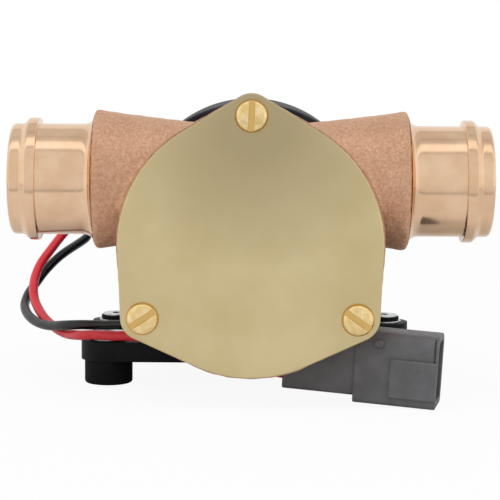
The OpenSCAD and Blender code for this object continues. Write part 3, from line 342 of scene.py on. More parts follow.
red_pvc = lead_insulation("red_insulation", photo_colour(206, 22, 36), photo_colour(212, 46, 66))
black_pvc = lead_insulation("black_insulation", photo_colour(10, 11, 12), photo_colour(28, 29, 31))
red_path, black_path = smooth_path(red_route), smooth_path(black_route)
red_lead = make_piece("red_lead_wire", [skin(tube_along(red_path, lead_radius))], red_pvc,
                      "pump", "red_insulation", "red_lead", crease=60)
black_lead = make_piece("black_lead_wire", [skin(tube_along(black_path, lead_radius))], black_pvc,
                        "pump", "black_insulation", "black_lead", crease=60)


# The four feet: turned pads of soft black rubber, each with a neck through the base's ear and a
# collar above it, a flanged steel sleeve down its middle and a plain washer under the collar.
foot_spots = [(x, y) for x in (-51, 51) for y in (-24, 24)]
base_low, base_high = 8.8, 15.8
washer_top, collar_top = base_high + 0.6, base_high + 2.7
foot_bore, foot_radius, neck_radius, collar_radius = 3.22, 8.6, 4.4, 6.5
sleeve_bore, sleeve_radius, sleeve_flange = 2.25, 3.2, 5.9
washer_bore, washer_radius = 4.45, 7.3
easing = 0.02


def rounded(corners, radii, steps=6):
    """An outline whose corners give way to arcs. An arc touches both edges of its corner, and its
    centre lies on the corner's bisector."""
    corners = np.asarray(corners, float)
    outline = []
    for k, radius in enumerate(np.broadcast_to(radii, len(corners))):
        corner = corners[k]
        sides = np.array([corners[k - 1], corners[(k + 1) % len(corners)]]) - corner
        lengths = np.linalg.norm(sides, axis=1, keepdims=True)
        sides /= lengths
        half = np.arccos(np.clip(sides[0] @ sides[1], -1, 1)) / 2
        if radius <= 0 or half > 1.5:
            outline.append(corner[None])
            continue
        reach = min(radius / np.tan(half), 0.49 * lengths.min())
        middle = corner + sides.sum(axis=0) / np.linalg.norm(sides.sum(axis=0)) * reach / np.cos(half)
        spokes = corner + sides * reach - middle
        t = np.linspace(0, 1, steps + 1)[:, None]
        wide = np.pi - 2 * half
        outline.append(middle + (np.sin((1 - t) * wide) * spokes[0] + np.sin(t * wide) * spokes[1])
                       / np.sin(wide))
    return np.concatenate(outline)


def turned(profile, axis, centre, steps=96):
    """A profile of radius and place along an axis, turned round that axis through a centre."""
    radius, along = np.asarray(profile, float).T
    turn = np.linspace(0, 2 * np.pi, steps, endpoint=False)
    one, two = np.outer(radius, np.cos(turn)), np.outer(radius, np.sin(turn))
    straight = np.repeat(along[:, None], steps, axis=1)
    order = {"x": (straight, one, two), "y": (one, straight, two), "z": (one, two, straight)}[axis]
    return np.stack(order, axis=-1) + np.asarray(centre, float)


foot_profile = rounded(
    [(foot_bore, 0), (foot_radius, 0), (foot_radius, base_low - easing), (neck_radius, base_low - easing),
     (neck_radius, washer_top + easing), (collar_radius, washer_top + easing),
     (collar_radius, collar_top - 0.62), (foot_bore, collar_top - 0.62)],
    [0, 1.0, 0.35, 0.2, 0.1, 0.35, 0.35, 0])
sleeve_profile = rounded(
    [(sleeve_bore, 0.4), (sleeve_radius, 0.4), (sleeve_radius, collar_top - 0.6),
     (sleeve_flange, collar_top - 0.6), (sleeve_flange, collar_top), (sleeve_bore, collar_top)],
    [0, 0, 0.1, 0.12, 0.25, 0.3])
washer_profile = rounded(
    [(washer_bore, base_high + easing / 2), (washer_radius, base_high + easing / 2),
     (washer_radius, washer_top), (washer_bore, washer_top)], 0.15)


def at_feet(profile, steps):
    """A profile turned upright at each of the feet."""
    return [skin(turned(profile, "z", (x, y, 0), steps), loop=True) for x, y in foot_spots]


foot_rubber, tree, shader = new_finish("foot_rubber", photo_colour(12, 13, 14), roughness=0.7)
shader.inputs["Specular IOR Level"].default_value = 0.16
tree.links.new(graded(tree, speckle(tree, 3, 4), photo_colour(6, 8, 9), photo_colour(14, 16, 18)),
               shader.inputs["Base Color"])
dented(tree, shader, speckle(tree, 0.35, 2), 0.02)
make_piece("foot_pads", at_feet(foot_profile, 72), foot_rubber, "pump", "black_rubber", "rubber_feet")

zinc, tree, shader = new_finish("zinc_plate", photo_colour(212, 214, 216), 1.0, 0.34)
tree.links.new(graded(tree, speckle(tree, 1.6, 4), photo_colour(196, 198, 201),
                      photo_colour(224, 226, 228)), shader.inputs["Base Color"])
tree.links.new(ranged(tree, speckle(tree, 0.8, 3), 0.26, 0.42), shader.inputs["Roughness"])
make_piece("foot_sleeve_tubes", at_feet(sleeve_profile, 64), zinc, "pump", "steel", "foot_sleeves")
make_piece("foot_washers", at_feet(washer_profile, 64), zinc, "pump", "steel")


# The base: one black glass-filled nylon moulding, with an ear for each foot, a cradle that the
# motor lies in and a belly between the feet. Four socket screws hold the motor down on it.
def softened(node, width, angle=25, segments=3):
    """A copy of a node's mesh with coinciding points merged, flat faces joined and each real edge
    rounded to the width given."""
    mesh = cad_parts[node].data.copy()
    shape = bmesh.new()
    shape.from_mesh(mesh)
    bmesh.ops.remove_doubles(shape, verts=shape.verts, dist=1e-6)
    bmesh.ops.dissolve_limit(shape, angle_limit=np.radians(0.4), verts=shape.verts, edges=shape.edges)
    shape.to_mesh(mesh)
    shape.free()
    piece = bpy.data.objects.new(node + "_softened", mesh)
    scene.collection.objects.link(piece)
    edges = piece.modifiers.new("rounding", "BEVEL")
    edges.width = width / 1000
    edges.segments = segments
    edges.limit_method = "ANGLE"
    edges.angle_limit = np.radians(angle)
    edges.harden_normals = False
    return piece


def baked(piece, crease=30):
    """Turns a piece's modifiers into its own mesh."""
    bpy.context.view_layer.update()
    mesh = bpy.data.meshes.new_from_object(piece.evaluated_get(bpy.context.evaluated_depsgraph_get()))
    piece.modifiers.clear()
    piece.data = mesh
    shade(mesh, crease)
    return piece


def moulded(name, dark, light, roughness, grain, depth):
    """Moulded plastic: two close tones in slow clouds, and the fine spark-eroded grain of the
    mould."""
    finish, tree, shader = new_finish(name, dark, roughness=roughness)
    tree.links.new(graded(tree, speckle(tree, 6, 4), dark, light), shader.inputs["Base Color"])
    tree.links.new(ranged(tree, speckle(tree, grain * 3, 3), roughness - 0.07, roughness + 0.08),
                   shader.inputs["Roughness"])
    dented(tree, shader, speckle(tree, grain, 3), depth)
    return finish


black_nylon = moulded("black_nylon", photo_colour(6, 8, 9), photo_colour(14, 16, 18), 0.5, 0.4, 0.03)
black_nylon.node_tree.nodes["Principled BSDF"].inputs["Specular IOR Level"].default_value = 0.16
base = baked(softened("motor_base", 0.6))
base.name = "base_moulding"
base.data.materials.clear()
base.data.materials.append(black_nylon)
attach(base, "pump")
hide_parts("motor_base")


def dress(finish, *names):
    """Gives nodes of the model a finish."""
    for name in names:
        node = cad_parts[name]
        if not node.material_slots:
            node.data.materials.append(finish)
        for place in node.material_slots:
            place.material = finish


dress(zinc, "base_screws", "adaptor_screws", "cam_screw")


# The motor's front bracket: an aluminium casting turned true at its rim, where three grooves run
# round, and painted black. It is hollow behind the pump, with a drain hole at the bottom.
pump_face, shaft_z = -78, 55


def cut(piece, *skins, crease=30):
    """Takes closed skins, in millimetres, away from a piece one after another."""
    for points, faces in skins:
        cutter = bpy.data.objects.new("cutter", closed_mesh("cutter", points, faces))
        scene.collection.objects.link(cutter)
        taking = piece.modifiers.new("cut", "BOOLEAN")
        taking.operation, taking.solver, taking.object = "DIFFERENCE", "MANIFOLD", cutter
        baked(piece, crease)
        bpy.data.objects.remove(cutter)


def bar(radius, start, stop, axis, centre, steps=64):
    """A plain round bar from start to stop along an axis."""
    return skin(turned([(0, start), (radius, start), (radius, stop), (0, stop)], axis, centre, steps))


on_axis = (0, 0, shaft_z)


def on_shaft_line(depth):
    """A point on the shaft's axis, that far behind the cover's front."""
    return (0, pump_face + depth, shaft_z)


rim, groove = 46, 45.3
bracket_profile = rounded(
    [(24.05, 54), (rim, 54), (rim, 56.2), (groove, 56.2), (groove, 57.1), (rim, 57.1), (rim, 58.8),
     (groove, 58.8), (groove, 59.7), (rim, 59.7), (rim, 61.4), (groove, 61.4), (groove, 62.3),
     (rim, 62.3), (rim, 66), (41.95, 66), (41.95, 67), (19.52, 67), (19.52, 76.5), (16.02, 76.5),
     (16.02, 65.5), (7, 65.5), (7, 64.5), (16, 64.5), (16, 56.55), (24.05, 56.55)],
    [0.3, 1.1, 0.2, 0.15, 0.15, 0.2, 0.2, 0.15, 0.15, 0.2, 0.2, 0.15, 0.15, 0.2, 0.25, 0, 0.3, 0.5, 0.4,
     0.3, 0, 0, 0, 0.5, 0.4, 0], steps=4)

black_enamel, tree, shader = new_finish("black_enamel", photo_colour(26, 23, 29), roughness=0.4)
tree.links.new(graded(tree, speckle(tree, 7, 4), photo_colour(22, 19, 25), photo_colour(36, 32, 39)),
               shader.inputs["Base Color"])
tree.links.new(ranged(tree, speckle(tree, 1.2, 3), 0.46, 0.6), shader.inputs["Roughness"])
dented(tree, shader, speckle(tree, 1.1, 3), 0.045)
shader.inputs["Specular IOR Level"].default_value = 0.22

bracket = make_piece(
    "front_bracket_casting",
    [skin(turned(bracket_profile, "y", on_shaft_line(0), 192), loop=True)],
    black_enamel, "pump", "black_paint", "front_bracket")
cut(bracket, bar(2.5, 0, 48, "z", (0, pump_face + 59.25, 0), 40))


# The motor's yoke: steel strip rolled into a tube and welded along one seam low on the right, which
# is ground nearly flush before the tube is painted.
seam_at, seam_half = np.radians(-52), 0.014
yoke_outline = rounded([(42, 66), (rim, 66), (rim, 128), (42, 128)], [0.2, 0.7, 0.7, 0.2])
seam_turns = np.sort(np.concatenate([np.linspace(-np.pi, np.pi, 168, endpoint=False),
                                     seam_at + np.linspace(-0.03, 0.03, 13)]))
yoke_radius = np.repeat(yoke_outline[:, :1], len(seam_turns), axis=1)
seam_dip = 0.3 * np.exp(-((seam_turns - seam_at) / seam_half) ** 2 * 3)
yoke_radius = yoke_radius - np.where(yoke_radius > 44, seam_dip[None, :], 0)
yoke_grid = np.stack([yoke_radius * np.cos(seam_turns),
                      np.repeat(yoke_outline[:, 1:] + pump_face, len(seam_turns), axis=1),
                      shaft_z + yoke_radius * np.sin(seam_turns)], axis=-1)
make_piece("motor_yoke_tube", [skin(yoke_grid, loop=True)], black_enamel, "pump", "black_paint",
           "motor_yoke")


# The rear end cap: a deep aluminium casting with a ring pressed in round its bearing housing. Two
# long socket screws come in through it, and draw cap, yoke and bracket together.
bolt_circle = 38.15
through_bolts = [(bolt_circle * np.cos(t), shaft_z + bolt_circle * np.sin(t))
                 for t in np.radians((20, 200))]
cap_profile = rounded(
    [(0, 150), (15, 150), (17, 149.1), (31, 149.1), (33, 150), (45.5, 150), (45.5, 128), (42.5, 128),
     (42.5, 147), (18.02, 147), (18.02, 136.48), (15.02, 136.48), (15.02, 147), (0, 147)],
    [0, 1.5, 1.2, 1.2, 1.5, 5, 0.4, 0.2, 1.5, 0.5, 0.3, 0.3, 0, 0], steps=8)
end_cap = make_piece("rear_cap_casting", [skin(turned(cap_profile, "y", on_shaft_line(0), 192))],
                     black_enamel, "pump", "black_paint", "rear_end_cap")
grommet_spot = (62, 60.5)
cut(end_cap,
    *[bar(3.65, pump_face + 144, pump_face + 152, "y", (x, 0, z), 48) for x, z in through_bolts],
    bar(4.62, -50, -38, "x", (0, *grommet_spot), 48))

bright_steel, tree, shader = new_finish("bright_steel", photo_colour(203, 204, 207), 1.0, 0.24)
tree.links.new(graded(tree, speckle(tree, 2.5, 4), photo_colour(186, 187, 190),
                      photo_colour(214, 215, 218)), shader.inputs["Base Color"])
tree.links.new(ranged(tree, speckle(tree, 1, 3), 0.16, 0.32), shader.inputs["Roughness"])
dress(bright_steel, "through_bolts")


# The grommet: a moulded rubber nose in the cap's left side that carries the two leads through, one
# above the other.
lead_way = lead_radius + 0.07
grommet_profile = rounded([(0, -51), (5, -51), (6.4, -45.5), (6.4, -44.9), (4.6, -44.9), (4.6, -41),
                           (0, -41)], [0, 0.9, 0.3, 0.2, 0.1, 0.2, 0])
grommet = make_piece("lead_grommet_nose", [skin(turned(grommet_profile, "x", (0, *grommet_spot), 64))],
                     foot_rubber, "pump", "black_rubber", "lead_grommet")
for route in (red_route, black_route):
    cut(grommet, bar(lead_way, -53, -39, "x", (0, *route[0][1:]), 32))


# Inside the motor: two ferrite magnets on the yoke, and the armature of stacked iron with enamelled
# copper in its slots and a commutator of copper bars, all on a ground steel shaft.
def machined(name, low, high, metallic, roughness, lay):
    """Turned or ground metal: two close tones in slow clouds, and fine tool marks that run round
    the shaft, so that they change quickly along Y and slowly the other ways."""
    finish, tree, shader = new_finish(name, low, metallic, roughness)
    tree.links.new(graded(tree, speckle(tree, 4, 3), low, high), shader.inputs["Base Color"])
    marks = speckle(tree, lay, 2, stretch=(12, 1, 12))
    tree.links.new(ranged(tree, marks, roughness - 0.06, roughness + 0.08), shader.inputs["Roughness"])
    dented(tree, shader, marks, 0.004)
    return finish


shaft_steel = machined("shaft_steel", photo_colour(176, 178, 182), photo_colour(200, 202, 205), 1.0,
                       0.22, 0.3)
dress(shaft_steel, "motor_shaft", "drive_key", "front_bearing_outer", "front_bearing_inner",
      "rear_bearing_outer", "rear_bearing_inner")
dress(bright_steel, "front_bearing_balls", "rear_bearing_balls", "preload_washer", "seal_spring")
iron_stack = machined("iron_stack", photo_colour(92, 92, 96), photo_colour(120, 120, 124), 0.9, 0.4, 0.5)
dress(iron_stack, "armature_core")
copper_bars = machined("copper_bars", photo_colour(196, 118, 84), photo_colour(220, 148, 112), 1.0,
                       0.25, 0.25)
dress(copper_bars, "commutator")
wound_copper, tree, shader = new_finish("wound_copper", photo_colour(150, 70, 36), 0.7, 0.3)
strands = speckle(tree, 0.9, 1, stretch=(1, 8, 1))
tree.links.new(graded(tree, strands, photo_colour(120, 50, 24), photo_colour(196, 108, 62)),
               shader.inputs["Base Color"])
dented(tree, shader, strands, 0.2)
dress(wound_copper, "armature_windings")
ferrite = moulded("ferrite", photo_colour(50, 50, 53), photo_colour(70, 69, 72), 0.6, 0.5, 0.02)
dress(ferrite, "magnets")


# The brush gear: a phenolic plate that carries two folded brass boxes, each with a carbon brush
# pressed on the commutator by a coil spring. A spring's outer end rests in its box, and the brush
# shortens it from the inner end. The bearings' cages are brass too.
pressed_brass = machined("pressed_brass", photo_colour(196, 168, 100), photo_colour(220, 194, 126),
                         1.0, 0.3, 0.6)
dress(pressed_brass, "brush_holders", "front_bearing_cage", "rear_bearing_cage")
carbon = moulded("carbon", photo_colour(44, 44, 46), photo_colour(64, 64, 67), 0.45, 0.3, 0.01)
dress(carbon, "left_brush", "right_brush")
phenolic = moulded("phenolic", photo_colour(58, 40, 30), photo_colour(84, 58, 42), 0.5, 1.2, 0.02)
dress(phenolic, "brush_plate")
spring_turns, spring_wire, spring_radius, spring_y = 7, 0.28, 2.0, 50.8
spring_inner, spring_outer = 25.5, 34
coiling = np.linspace(0, spring_turns * 2 * np.pi, spring_turns * 24 + 1)
for hand, side in (("left", -1), ("right", 1)):
    coil = np.column_stack([side * np.linspace(spring_inner, spring_outer, len(coiling)),
                            spring_y + spring_radius * np.cos(coiling),
                            shaft_z + spring_radius * np.sin(coiling)])
    spring = make_piece(f"{hand}_brush_coil", [skin(tube_along(coil, spring_wire))], bright_steel,
                        "pump", "steel", f"{hand}_brush_spring")
    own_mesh(spring)


# The seal between the wet and the dry side: a nitrile lip seal pressed into the body's back wall and
# a rubber slinger on the shaft behind it. A ground steel wear plate lies in front.
seal_rubber = moulded("seal_rubber", photo_colour(26, 26, 28), photo_colour(40, 40, 43), 0.45, 0.6, 0.01)
dress(seal_rubber, "shaft_seal", "slinger", "cover_o_ring")
dress(shaft_steel, "wear_plate")


# The pump body: one sand casting in bronze, its skin left as cast. The flange under the cover, both
# boss ends, the chamber and the bores are machined.
flange_reach, cover_reach, ear_reach, ear_circle = 44.8, 44, 7.4, 43
ear_angles = np.radians((90, 214, 326))
ear_spots = [(ear_circle * np.cos(t), 0, shaft_z + ear_circle * np.sin(t)) for t in ear_angles]


def eared_radius(turn, reach, ear):
    """How far the three-eared outline stands from the axis at each angle. It is the round rim, and
    near an ear either the tangent line shared by rim and ear circle, or the ear circle itself."""
    off = np.abs((turn[:, None] - ear_angles + np.pi) % (2 * np.pi) - np.pi).min(axis=1)
    spread = np.arccos((reach - ear) / ear_circle)
    touch = np.arctan2(ear * np.sin(spread), ear_circle + ear * np.cos(spread))
    line = reach / np.cos(np.clip(spread - off, 0, 1.2))
    tip = ear_circle * np.cos(off) + np.sqrt(np.maximum(ear ** 2 - (ear_circle * np.sin(off)) ** 2, 0))
    return np.where(off > spread, reach, np.where(off > touch, line, tip))


def eared_slab(rows, rim_reach, turn_count=288):
    """A stack of eared outlines. Each row gives a depth behind the cover's front, how far the outline
    is drawn in, and a share by which it shrinks towards the axis."""
    turn = np.linspace(0, 2 * np.pi, turn_count, endpoint=False)
    radius = np.array([share * eared_radius(turn, rim_reach - inset, ear_reach - inset)
                       for _, inset, share in rows])
    depth = np.array([row[0] for row in rows], float)[:, None]
    return skin(np.stack([radius * np.cos(turn), np.broadcast_to(depth + pump_face, radius.shape),
                          shaft_z + radius * np.sin(turn)], axis=-1))


port_y, port_z, boss_end, past_boss = -48, 75, 53.5, 60
boss_profile = [(0, 0), (19.3, 0), (19.3, 15), (21.4, 34), (22.9, 46), (24, 52.6), (23.7, boss_end),
                (0, boss_end)]
barrel_radius = 37
raw = [eared_slab([(0.5, 0.2, 1), (8, 0.2, 1)], flange_reach),
       bar(barrel_radius, pump_face + 2, pump_face + 56, "y", on_axis, 160)]
for side in (-1, 1):
    raw.append(skin(turned([(r, side * x) for r, x in boss_profile], "x", (0, port_y, port_z), 120)))

cast_bronze, tree, shader = new_finish("cast_bronze", photo_colour(206, 158, 128), 0.8, 0.5)
clouds, grit, pits = speckle(tree, 16, 3), speckle(tree, 0.9, 4), speckle(tree, 2.4, 4, centre=(7, 3, 1))
under_tone = graded(tree, clouds, photo_colour(199, 154, 121), photo_colour(217, 175, 141), 0.3, 0.7)
bright_tone = graded(tree, grit, photo_colour(190, 138, 110), photo_colour(244, 206, 178), 0.36, 0.66)
mixed = blended(tree, 0.35, under_tone, bright_tone)
# Small grains with lower roughness, and a pale colour painted on them as glints
glint_grains = ranged(tree, speckle(tree, 0.6, 2, centre=(2, 5, 9)), 0, 0.8, 0.66, 0.74)
tree.links.new(blended(tree, glint_grains, mixed, photo_colour(244, 204, 170)), shader.inputs["Base Color"])
tree.links.new(ranged(tree, glint_grains, 0.56, 0.34, 0, 1), shader.inputs["Roughness"])
dented(tree, shader, pits, 0.26)
dented(tree, shader, grit, 0.12)

cast_grain, wave_height = 0.00085, 4e-5
body = make_piece("pump_body_casting", raw, cast_bronze, "pump", "cast_bronze", "pump_body")
one_skin = body.modifiers.new("one_skin", "REMESH")
one_skin.mode, one_skin.voxel_size = "VOXEL", cast_grain
baked(body)
melt = body.modifiers.new("cast_fillets", "SMOOTH")
melt.factor, melt.iterations = 0.5, 7
baked(body)

# The cast skin waves by about a tenth of a millimetre: three sine waves across each other push every
# point along its normal
count = len(body.data.vertices)
spots, normals = np.empty(count * 3), np.empty(count * 3)
body.data.vertices.foreach_get("co", spots)
body.data.vertex_normals.foreach_get("vector", normals)
spots, normals = spots.reshape(-1, 3), normals.reshape(-1, 3)
x, y, z = (spots * 1000).T
waves = (np.sin(0.9 * x + 1.3 * np.sin(0.7 * z)) + np.sin(1.1 * y + 1.7 * np.sin(0.8 * x + 1))
         + np.sin(1.2 * z + 1.5 * np.sin(0.9 * y + 2)))
body.data.vertices.foreach_set("co", (spots + normals * (waves * wave_height)[:, None]).ravel())
body.data.update()

# What is machined away: both faces, the cover seal's groove, the chamber, the shaft seal's seat and
# the shaft's way, the ports and their threads, the cover's screw holes and the cam screw's seat
face_waste = [bar(60, pump_face - 4, pump_face + 3, "y", on_axis, 64),
              bar(60, pump_face + 54, pump_face + 60, "y", on_axis, 64)]
ring_groove = skin(turned([(33.65, 1), (35.85, 1), (35.85, 5), (33.65, 5)], "y", on_shaft_line(0), 96),
                   loop=True)
chamber_radius, seal_seat, shaft_way = 32.5, 11.02, 7
waste = [*face_waste,
         bar(chamber_radius, pump_face, pump_face + 46, "y", on_axis, 128),
         bar(seal_seat, pump_face + 44, pump_face + 52.1, "y", on_axis),
         bar(shaft_way, pump_face + 44, pump_face + 58, "y", on_axis), ring_groove]
port_cuts = [(16, 13.9), (19.05, 42), (30, boss_end)]
for side in (-1, 1):
    waste += [bar(radius, *sorted((side * start, side * past_boss)), "x", (0, port_y, port_z))
              for radius, start in port_cuts]
waste += [bar(3.02, pump_face + 1, pump_face + 10, "y", spot, 32) for spot in ear_spots]
waste += [bar(radius, start, 110, "z", (0, port_y, 0), 32)
          for radius, start in ((2.6, 86), (4.35, port_z + 16.3))]
cut(body, *waste)
register_profile = rounded([(7, 54), (24, 54), (24, 56.5), (7, 56.5)], [0, 0, 0.4, 0.2])
make_piece("body_register", [skin(turned(register_profile, "y", on_shaft_line(0), 96), loop=True)],
           cast_bronze, "pump", "cast_bronze")


# The cam: a lens of brass under the chamber's roof between the ports, held by one slotted screw from
# above. It bends each blade of the impeller as it passes.
dress(pressed_brass, "cam", "impeller_insert")


# The impeller: eight blades of neoprene moulded on a brass insert, which a key drives. The blades
# are bent back, as they are where they sweep the chamber's wall.
neoprene = moulded("neoprene", photo_colour(30, 31, 33), photo_colour(46, 47, 49), 0.5, 0.8, 0.02)
dress(neoprene, "impeller")


# The hose spigots: turned from bronze bar and polished, with a fillet at the boss, a retaining bead
# with a square shoulder and a rounded nose. They are screwed into the bosses.
tube_bore, tube_radius, bead_radius, tube_start, tube_end = 16, 19, 21, 42.05, 81.9
fillet_end = 57.6
fillet_turn = np.linspace(1.5 * np.pi, np.pi, 14)
fillet = np.stack([22.4 + 3.4 * np.cos(fillet_turn), fillet_end + 4.0 * np.sin(fillet_turn)], axis=-1)
beaded = rounded([(tube_radius, fillet_end + 0.1), (tube_radius, 72.45), (bead_radius, 72.45),
                  (bead_radius, 75.7), (tube_radius, 77.7), (tube_radius, tube_end), (tube_bore, tube_end),
                  (tube_bore, tube_start)], [0, 0.1, 0.3, 1.2, 1.6, 2.3, 0.5, 0])
spigot_profile = np.concatenate(
    [[(tube_radius, tube_start), (tube_radius, boss_end), (22.2, boss_end)], fillet, beaded])

polished_bronze, tree, shader = new_finish("polished_bronze", photo_colour(236, 199, 164), 1.0, 0.13)
tree.links.new(graded(tree, speckle(tree, 9, 3), photo_colour(231, 193, 157), photo_colour(242, 207, 174)),
               shader.inputs["Base Color"])
turning = speckle(tree, 0.35, 2, stretch=(1, 14, 14))
tree.links.new(ranged(tree, turning, 0.1, 0.19), shader.inputs["Roughness"])
dented(tree, shader, turning, 0.0035)
for side, name, node in ((-1, "inlet_spigot_turned", "inlet_spigot"),
                         (1, "outlet_spigot_turned", "outlet_spigot")):
    spigot = turned(spigot_profile * (1, side), "x", (0, port_y, port_z), 160)
    make_piece(name, [skin(spigot, loop=True)], polished_bronze, "pump", "turned_bronze",
               node)


# The end cover: 3 mm brass plate cut to the flange's outline, its rim broken by a narrow bevel and
# its face brushed satin, with a faint darker patch below the top screw that is a painted reflection.
cover_brass, tree, shader = new_finish("cover_brass", photo_colour(226, 207, 156), 1.0, 0.3)
toned = graded(tree, speckle(tree, 26, 3), photo_colour(211, 192, 145), photo_colour(221, 203, 159))
# Painted reflection: the brass colour darkens towards a spot below the top screw, standing in for something
# dark mirrored in the face
reflection_patch_centre, reflection_patch_core, reflection_patch_edge = (0.002, -0.078, 0.097), 0.012, 0.05
from_reflection_patch = tree.nodes.new("ShaderNodeVectorMath")
from_reflection_patch.operation = "DISTANCE"
from_reflection_patch.inputs[1].default_value = reflection_patch_centre
tree.links.new(own_place(tree), from_reflection_patch.inputs[0])
painted_reflection_patch = ranged(tree, from_reflection_patch.outputs["Value"], 0.95, 0, reflection_patch_core, reflection_patch_edge)
tree.links.new(blended(tree, painted_reflection_patch, toned, photo_colour(183, 166, 128)), shader.inputs["Base Color"])
brushing = speckle(tree, 0.3, 3, stretch=(1, 1, 30))
tree.links.new(ranged(tree, brushing, 0.27, 0.37), shader.inputs["Roughness"])
dented(tree, shader, brushing, 0.003)
cover_rows = [(0, 0.46, 0.02), (0, 0.46, 0.5), (0, 0.46, 0.9), (0, 0.52, 1), (0.02, 0.42, 1),
              (0.07, 0.34, 1), (0.34, 0.07, 1), (0.42, 0.02, 1), (0.52, 0, 1), (2.75, 0, 1),
              (2.9, 0.05, 1), (3, 0.2, 1), (3, 0.3, 0.5), (3, 0.3, 0.02)]
cover_hole = 3.2
cover = make_piece("end_cover_plate", [eared_slab(cover_rows, cover_reach, 480)], cover_brass, "pump",
                   "cover_brass", "end_cover", crease=20)
cut(cover, *[bar(cover_hole, pump_face - 1, pump_face + 4, "y", spot, 32) for spot in ear_spots], crease=20)


# The cover screws: three slotted pan-head screws in bright brass, each turned as it came tight. The
# slots' floors and the heads' rims are painted darker, as painted shade.
slot_turns = np.radians((88, 34, -35))
head_reach, head_high, slot_half, slot_deep, slot_lip = 5.5, 3.0, 1.0, 1.35, 0.2
shank_radius, shank_end = 3, 7.9


def screw_head(spot, slot_turn):
    """A pan head cut by a slot. Sections stand across the slot's width, and each is a closed loop:
    up one side, over the low dome, down the other and back along the seat. Between the slot's walls
    the dome gives way to the slot's flat floor."""
    walls = slot_half + np.array([-0.001, 0, 0.03, 0.1, slot_lip])
    x = np.concatenate([-head_reach * np.cos(np.linspace(0.0005, 1.3, 26)), -walls[::-1], [0], walls,
                        head_reach * np.cos(np.linspace(1.3, 0.0005, 26))])
    half = np.sqrt(np.maximum(head_reach ** 2 - x ** 2, 0))[:, None]
    turn = np.linspace(0, np.pi, 41)[None, :]
    y = -half * np.cos(turn)
    reach = np.sqrt(x[:, None] ** 2 + y ** 2) / head_reach
    dome = head_high * (1 - 0.3 * reach ** 2) * np.clip(1 - reach ** 8, 0, 1) ** 0.5
    from_wall = np.abs(x) - slot_half
    lowered = np.clip(slot_lip - from_wall, 0, slot_lip)
    lip = slot_lip - np.sqrt(np.maximum(slot_lip ** 2 - lowered ** 2, 0))
    top = np.where(from_wall[:, None] < -0.0005, np.minimum(dome, head_high - slot_deep),
                   dome - lip[:, None])
    top = np.maximum(top, 0.02)
    x_all = np.repeat(x[:, None], 2 * turn.size, axis=1)
    y_all = np.concatenate([y, y[:, ::-1]], axis=1)
    z_all = np.concatenate([top, np.zeros_like(y)], axis=1)
    c, s = np.cos(slot_turn - np.pi / 2), np.sin(slot_turn - np.pi / 2)
    return skin(np.stack([spot[0] + c * x_all - s * y_all, pump_face - z_all,
                          spot[2] + s * x_all + c * y_all], axis=-1))


screw_brass, tree, shader = new_finish("screw_brass", photo_colour(240, 208, 140), 1.0, 0.2)
handled = graded(tree, speckle(tree, 2, 4), photo_colour(236, 204, 138), photo_colour(252, 228, 176))
along = tree.nodes.new("ShaderNodeSeparateXYZ")
tree.links.new(own_place(tree), along.inputs[0])
slot_floor = (pump_face - head_high + slot_deep) / 1000
# Painted shade: points nearer the cover than just above the slot floor, in the slots and round the heads'
# rims, turn darker amber
slot_and_rim_shade = ranged(tree, along.outputs["Y"], 0, 1, slot_floor - 0.00025, slot_floor - 0.00005)
tree.links.new(blended(tree, slot_and_rim_shade, handled, photo_colour(222, 184, 112)), shader.inputs["Base Color"])
tree.links.new(ranged(tree, speckle(tree, 0.9, 3), 0.16, 0.3), shader.inputs["Roughness"])
dented(tree, shader, speckle(tree, 2.4, 2), 0.03)
screw_skins = []
for spot, slot_turn in zip(ear_spots, slot_turns):
    screw_skins += [screw_head(spot, slot_turn),
                    bar(shank_radius, pump_face + 0.01, pump_face + shank_end, "y", spot, 32)]
make_piece("cover_screws_slotted", screw_skins, screw_brass, "pump", "screw_brass", "cover_screws",
           crease=38)


# The connector: a two-way sealed plug housing in grey nylon, with a raised panel on each side. The
# wires enter a tapered boot through an orange silicone seal, and two pins stand in the open mouth
# behind a wedge that locks them.
connector_at, tilt, yaw = np.array([12.3, -55.5, 5.238]), np.radians(3.3), np.radians(-12)
lay_down = np.array([[np.cos(tilt), 0, np.sin(tilt)], [0, 1, 0], [-np.sin(tilt), 0, np.cos(tilt)]])
swing = np.array([[np.cos(yaw), -np.sin(yaw), 0], [np.sin(yaw), np.cos(yaw), 0], [0, 0, 1]])


def at_connector(some_skin):
    """Lays a skin that was drawn along X in its place on the table."""
    points, faces = some_skin
    return points @ (swing @ lay_down).T + connector_at, faces


def block_along(rows, corners=(1.2, 1.2, 1.2, 1.2)):
    """A block lofted along X. Each row gives x, the half thickness, the low and the high edge and
    how far the outline is drawn in, and its four corners are arcs."""
    grid = []
    for x, half, low, high, inset in rows:
        half, low, high = half - inset, low + inset, high - inset
        flat = rounded([(-half, low), (half, low), (half, high), (-half, high)],
                       [max(corner - inset * 0.6, 0.12) for corner in corners], steps=6)
        grid.append(np.column_stack([np.full(len(flat), x), flat]))
    return skin(np.array(grid))


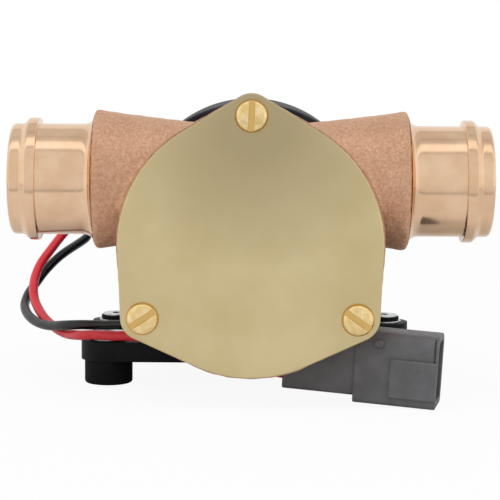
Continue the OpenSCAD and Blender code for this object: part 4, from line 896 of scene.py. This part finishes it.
boot_half, boot_length, boot_rise, boot_high = 7.5, 24.5, 9.2, 11.3
boot_rows = [(x, boot_half, 0, high, inset) for x, high, inset in (
    (4, boot_high + boot_rise * 4 / boot_length, 1.6), (0.25, boot_high, 1.6), (0, boot_high, 1.35),
    (0, boot_high, 0.45), (0.12, 11.35, 0.15), (0.45, 11.47, 0), (boot_length, boot_high + boot_rise, 0))]
housing_half, housing_low, housing_high, mouth_end, mouth_wall = 8.75, -2.2, 22.3, 52.5, 2.2
housing_rows = [(x, housing_half, housing_low, housing_high, inset) for x, inset in (
    (37.5, mouth_wall), (mouth_end - 0.25, mouth_wall), (mouth_end, 1.95), (mouth_end, 0.4),
    (mouth_end - 0.15, 0.1), (mouth_end - 0.5, 0), (24.95, 0), (24.6, 0.15), (24.52, 0.45))]
grey_nylon = moulded("grey_nylon", photo_colour(85, 84, 86), photo_colour(96, 95, 98), 0.5, 0.45, 0.03)
boot = make_piece("connector_boot_moulding", [at_connector(block_along(boot_rows))], grey_nylon,
                  "pump", "grey_plastic", "connector_boot")


def plate(x_low, x_high, z_low, z_high, y_low, y_high, radius):
    """A flat plate standing on a side of the housing, its outline's corners rounded and its outer
    edge broken."""
    grid, broken = [], 0.25
    edge = y_high * (1 - broken) + y_low * broken
    for y, inset in ((y_low, 0), (edge, 0), (y_high, abs(y_high - y_low) * broken)):
        flat = rounded([(x_low + inset, z_low + inset), (x_high - inset, z_low + inset),
                        (x_high - inset, z_high - inset), (x_low + inset, z_high - inset)], radius, 5)
        grid.append(np.column_stack([flat[:, 0], np.full(len(flat), y), flat[:, 1]]))
    return skin(np.array(grid))


panel, panel_root, panel_face = (36.6, 52.4, 0.8, 13.9), 8.4, 10.1
catch, catch_face = (30.7, 34, 17.5, 19.8), 9.95
mouth_slot = (51, 51.7, 14.4, 23.4)
housing_skins = [block_along(housing_rows, (1.6, 1.6, 4, 4)),
                 plate(*panel, -panel_root, -panel_face, 0.5), plate(*panel, panel_root, panel_face, 0.5),
                 plate(*catch, -panel_root, -catch_face, 0.8)]
housing = make_piece("connector_housing_moulding", [at_connector(s) for s in housing_skins], grey_nylon,
                     "pump", "grey_plastic", "connector_housing")
cut(housing, at_connector(plate(*mouth_slot, -7, -11, 0.1)))
orange_silicone = moulded("orange_silicone", photo_colour(206, 84, 28), photo_colour(226, 106, 44), 0.42,
                          0.9, 0.02)
dress(orange_silicone, "connector_seal", "connector_wedge")
dress(bright_steel, "connector_pins")
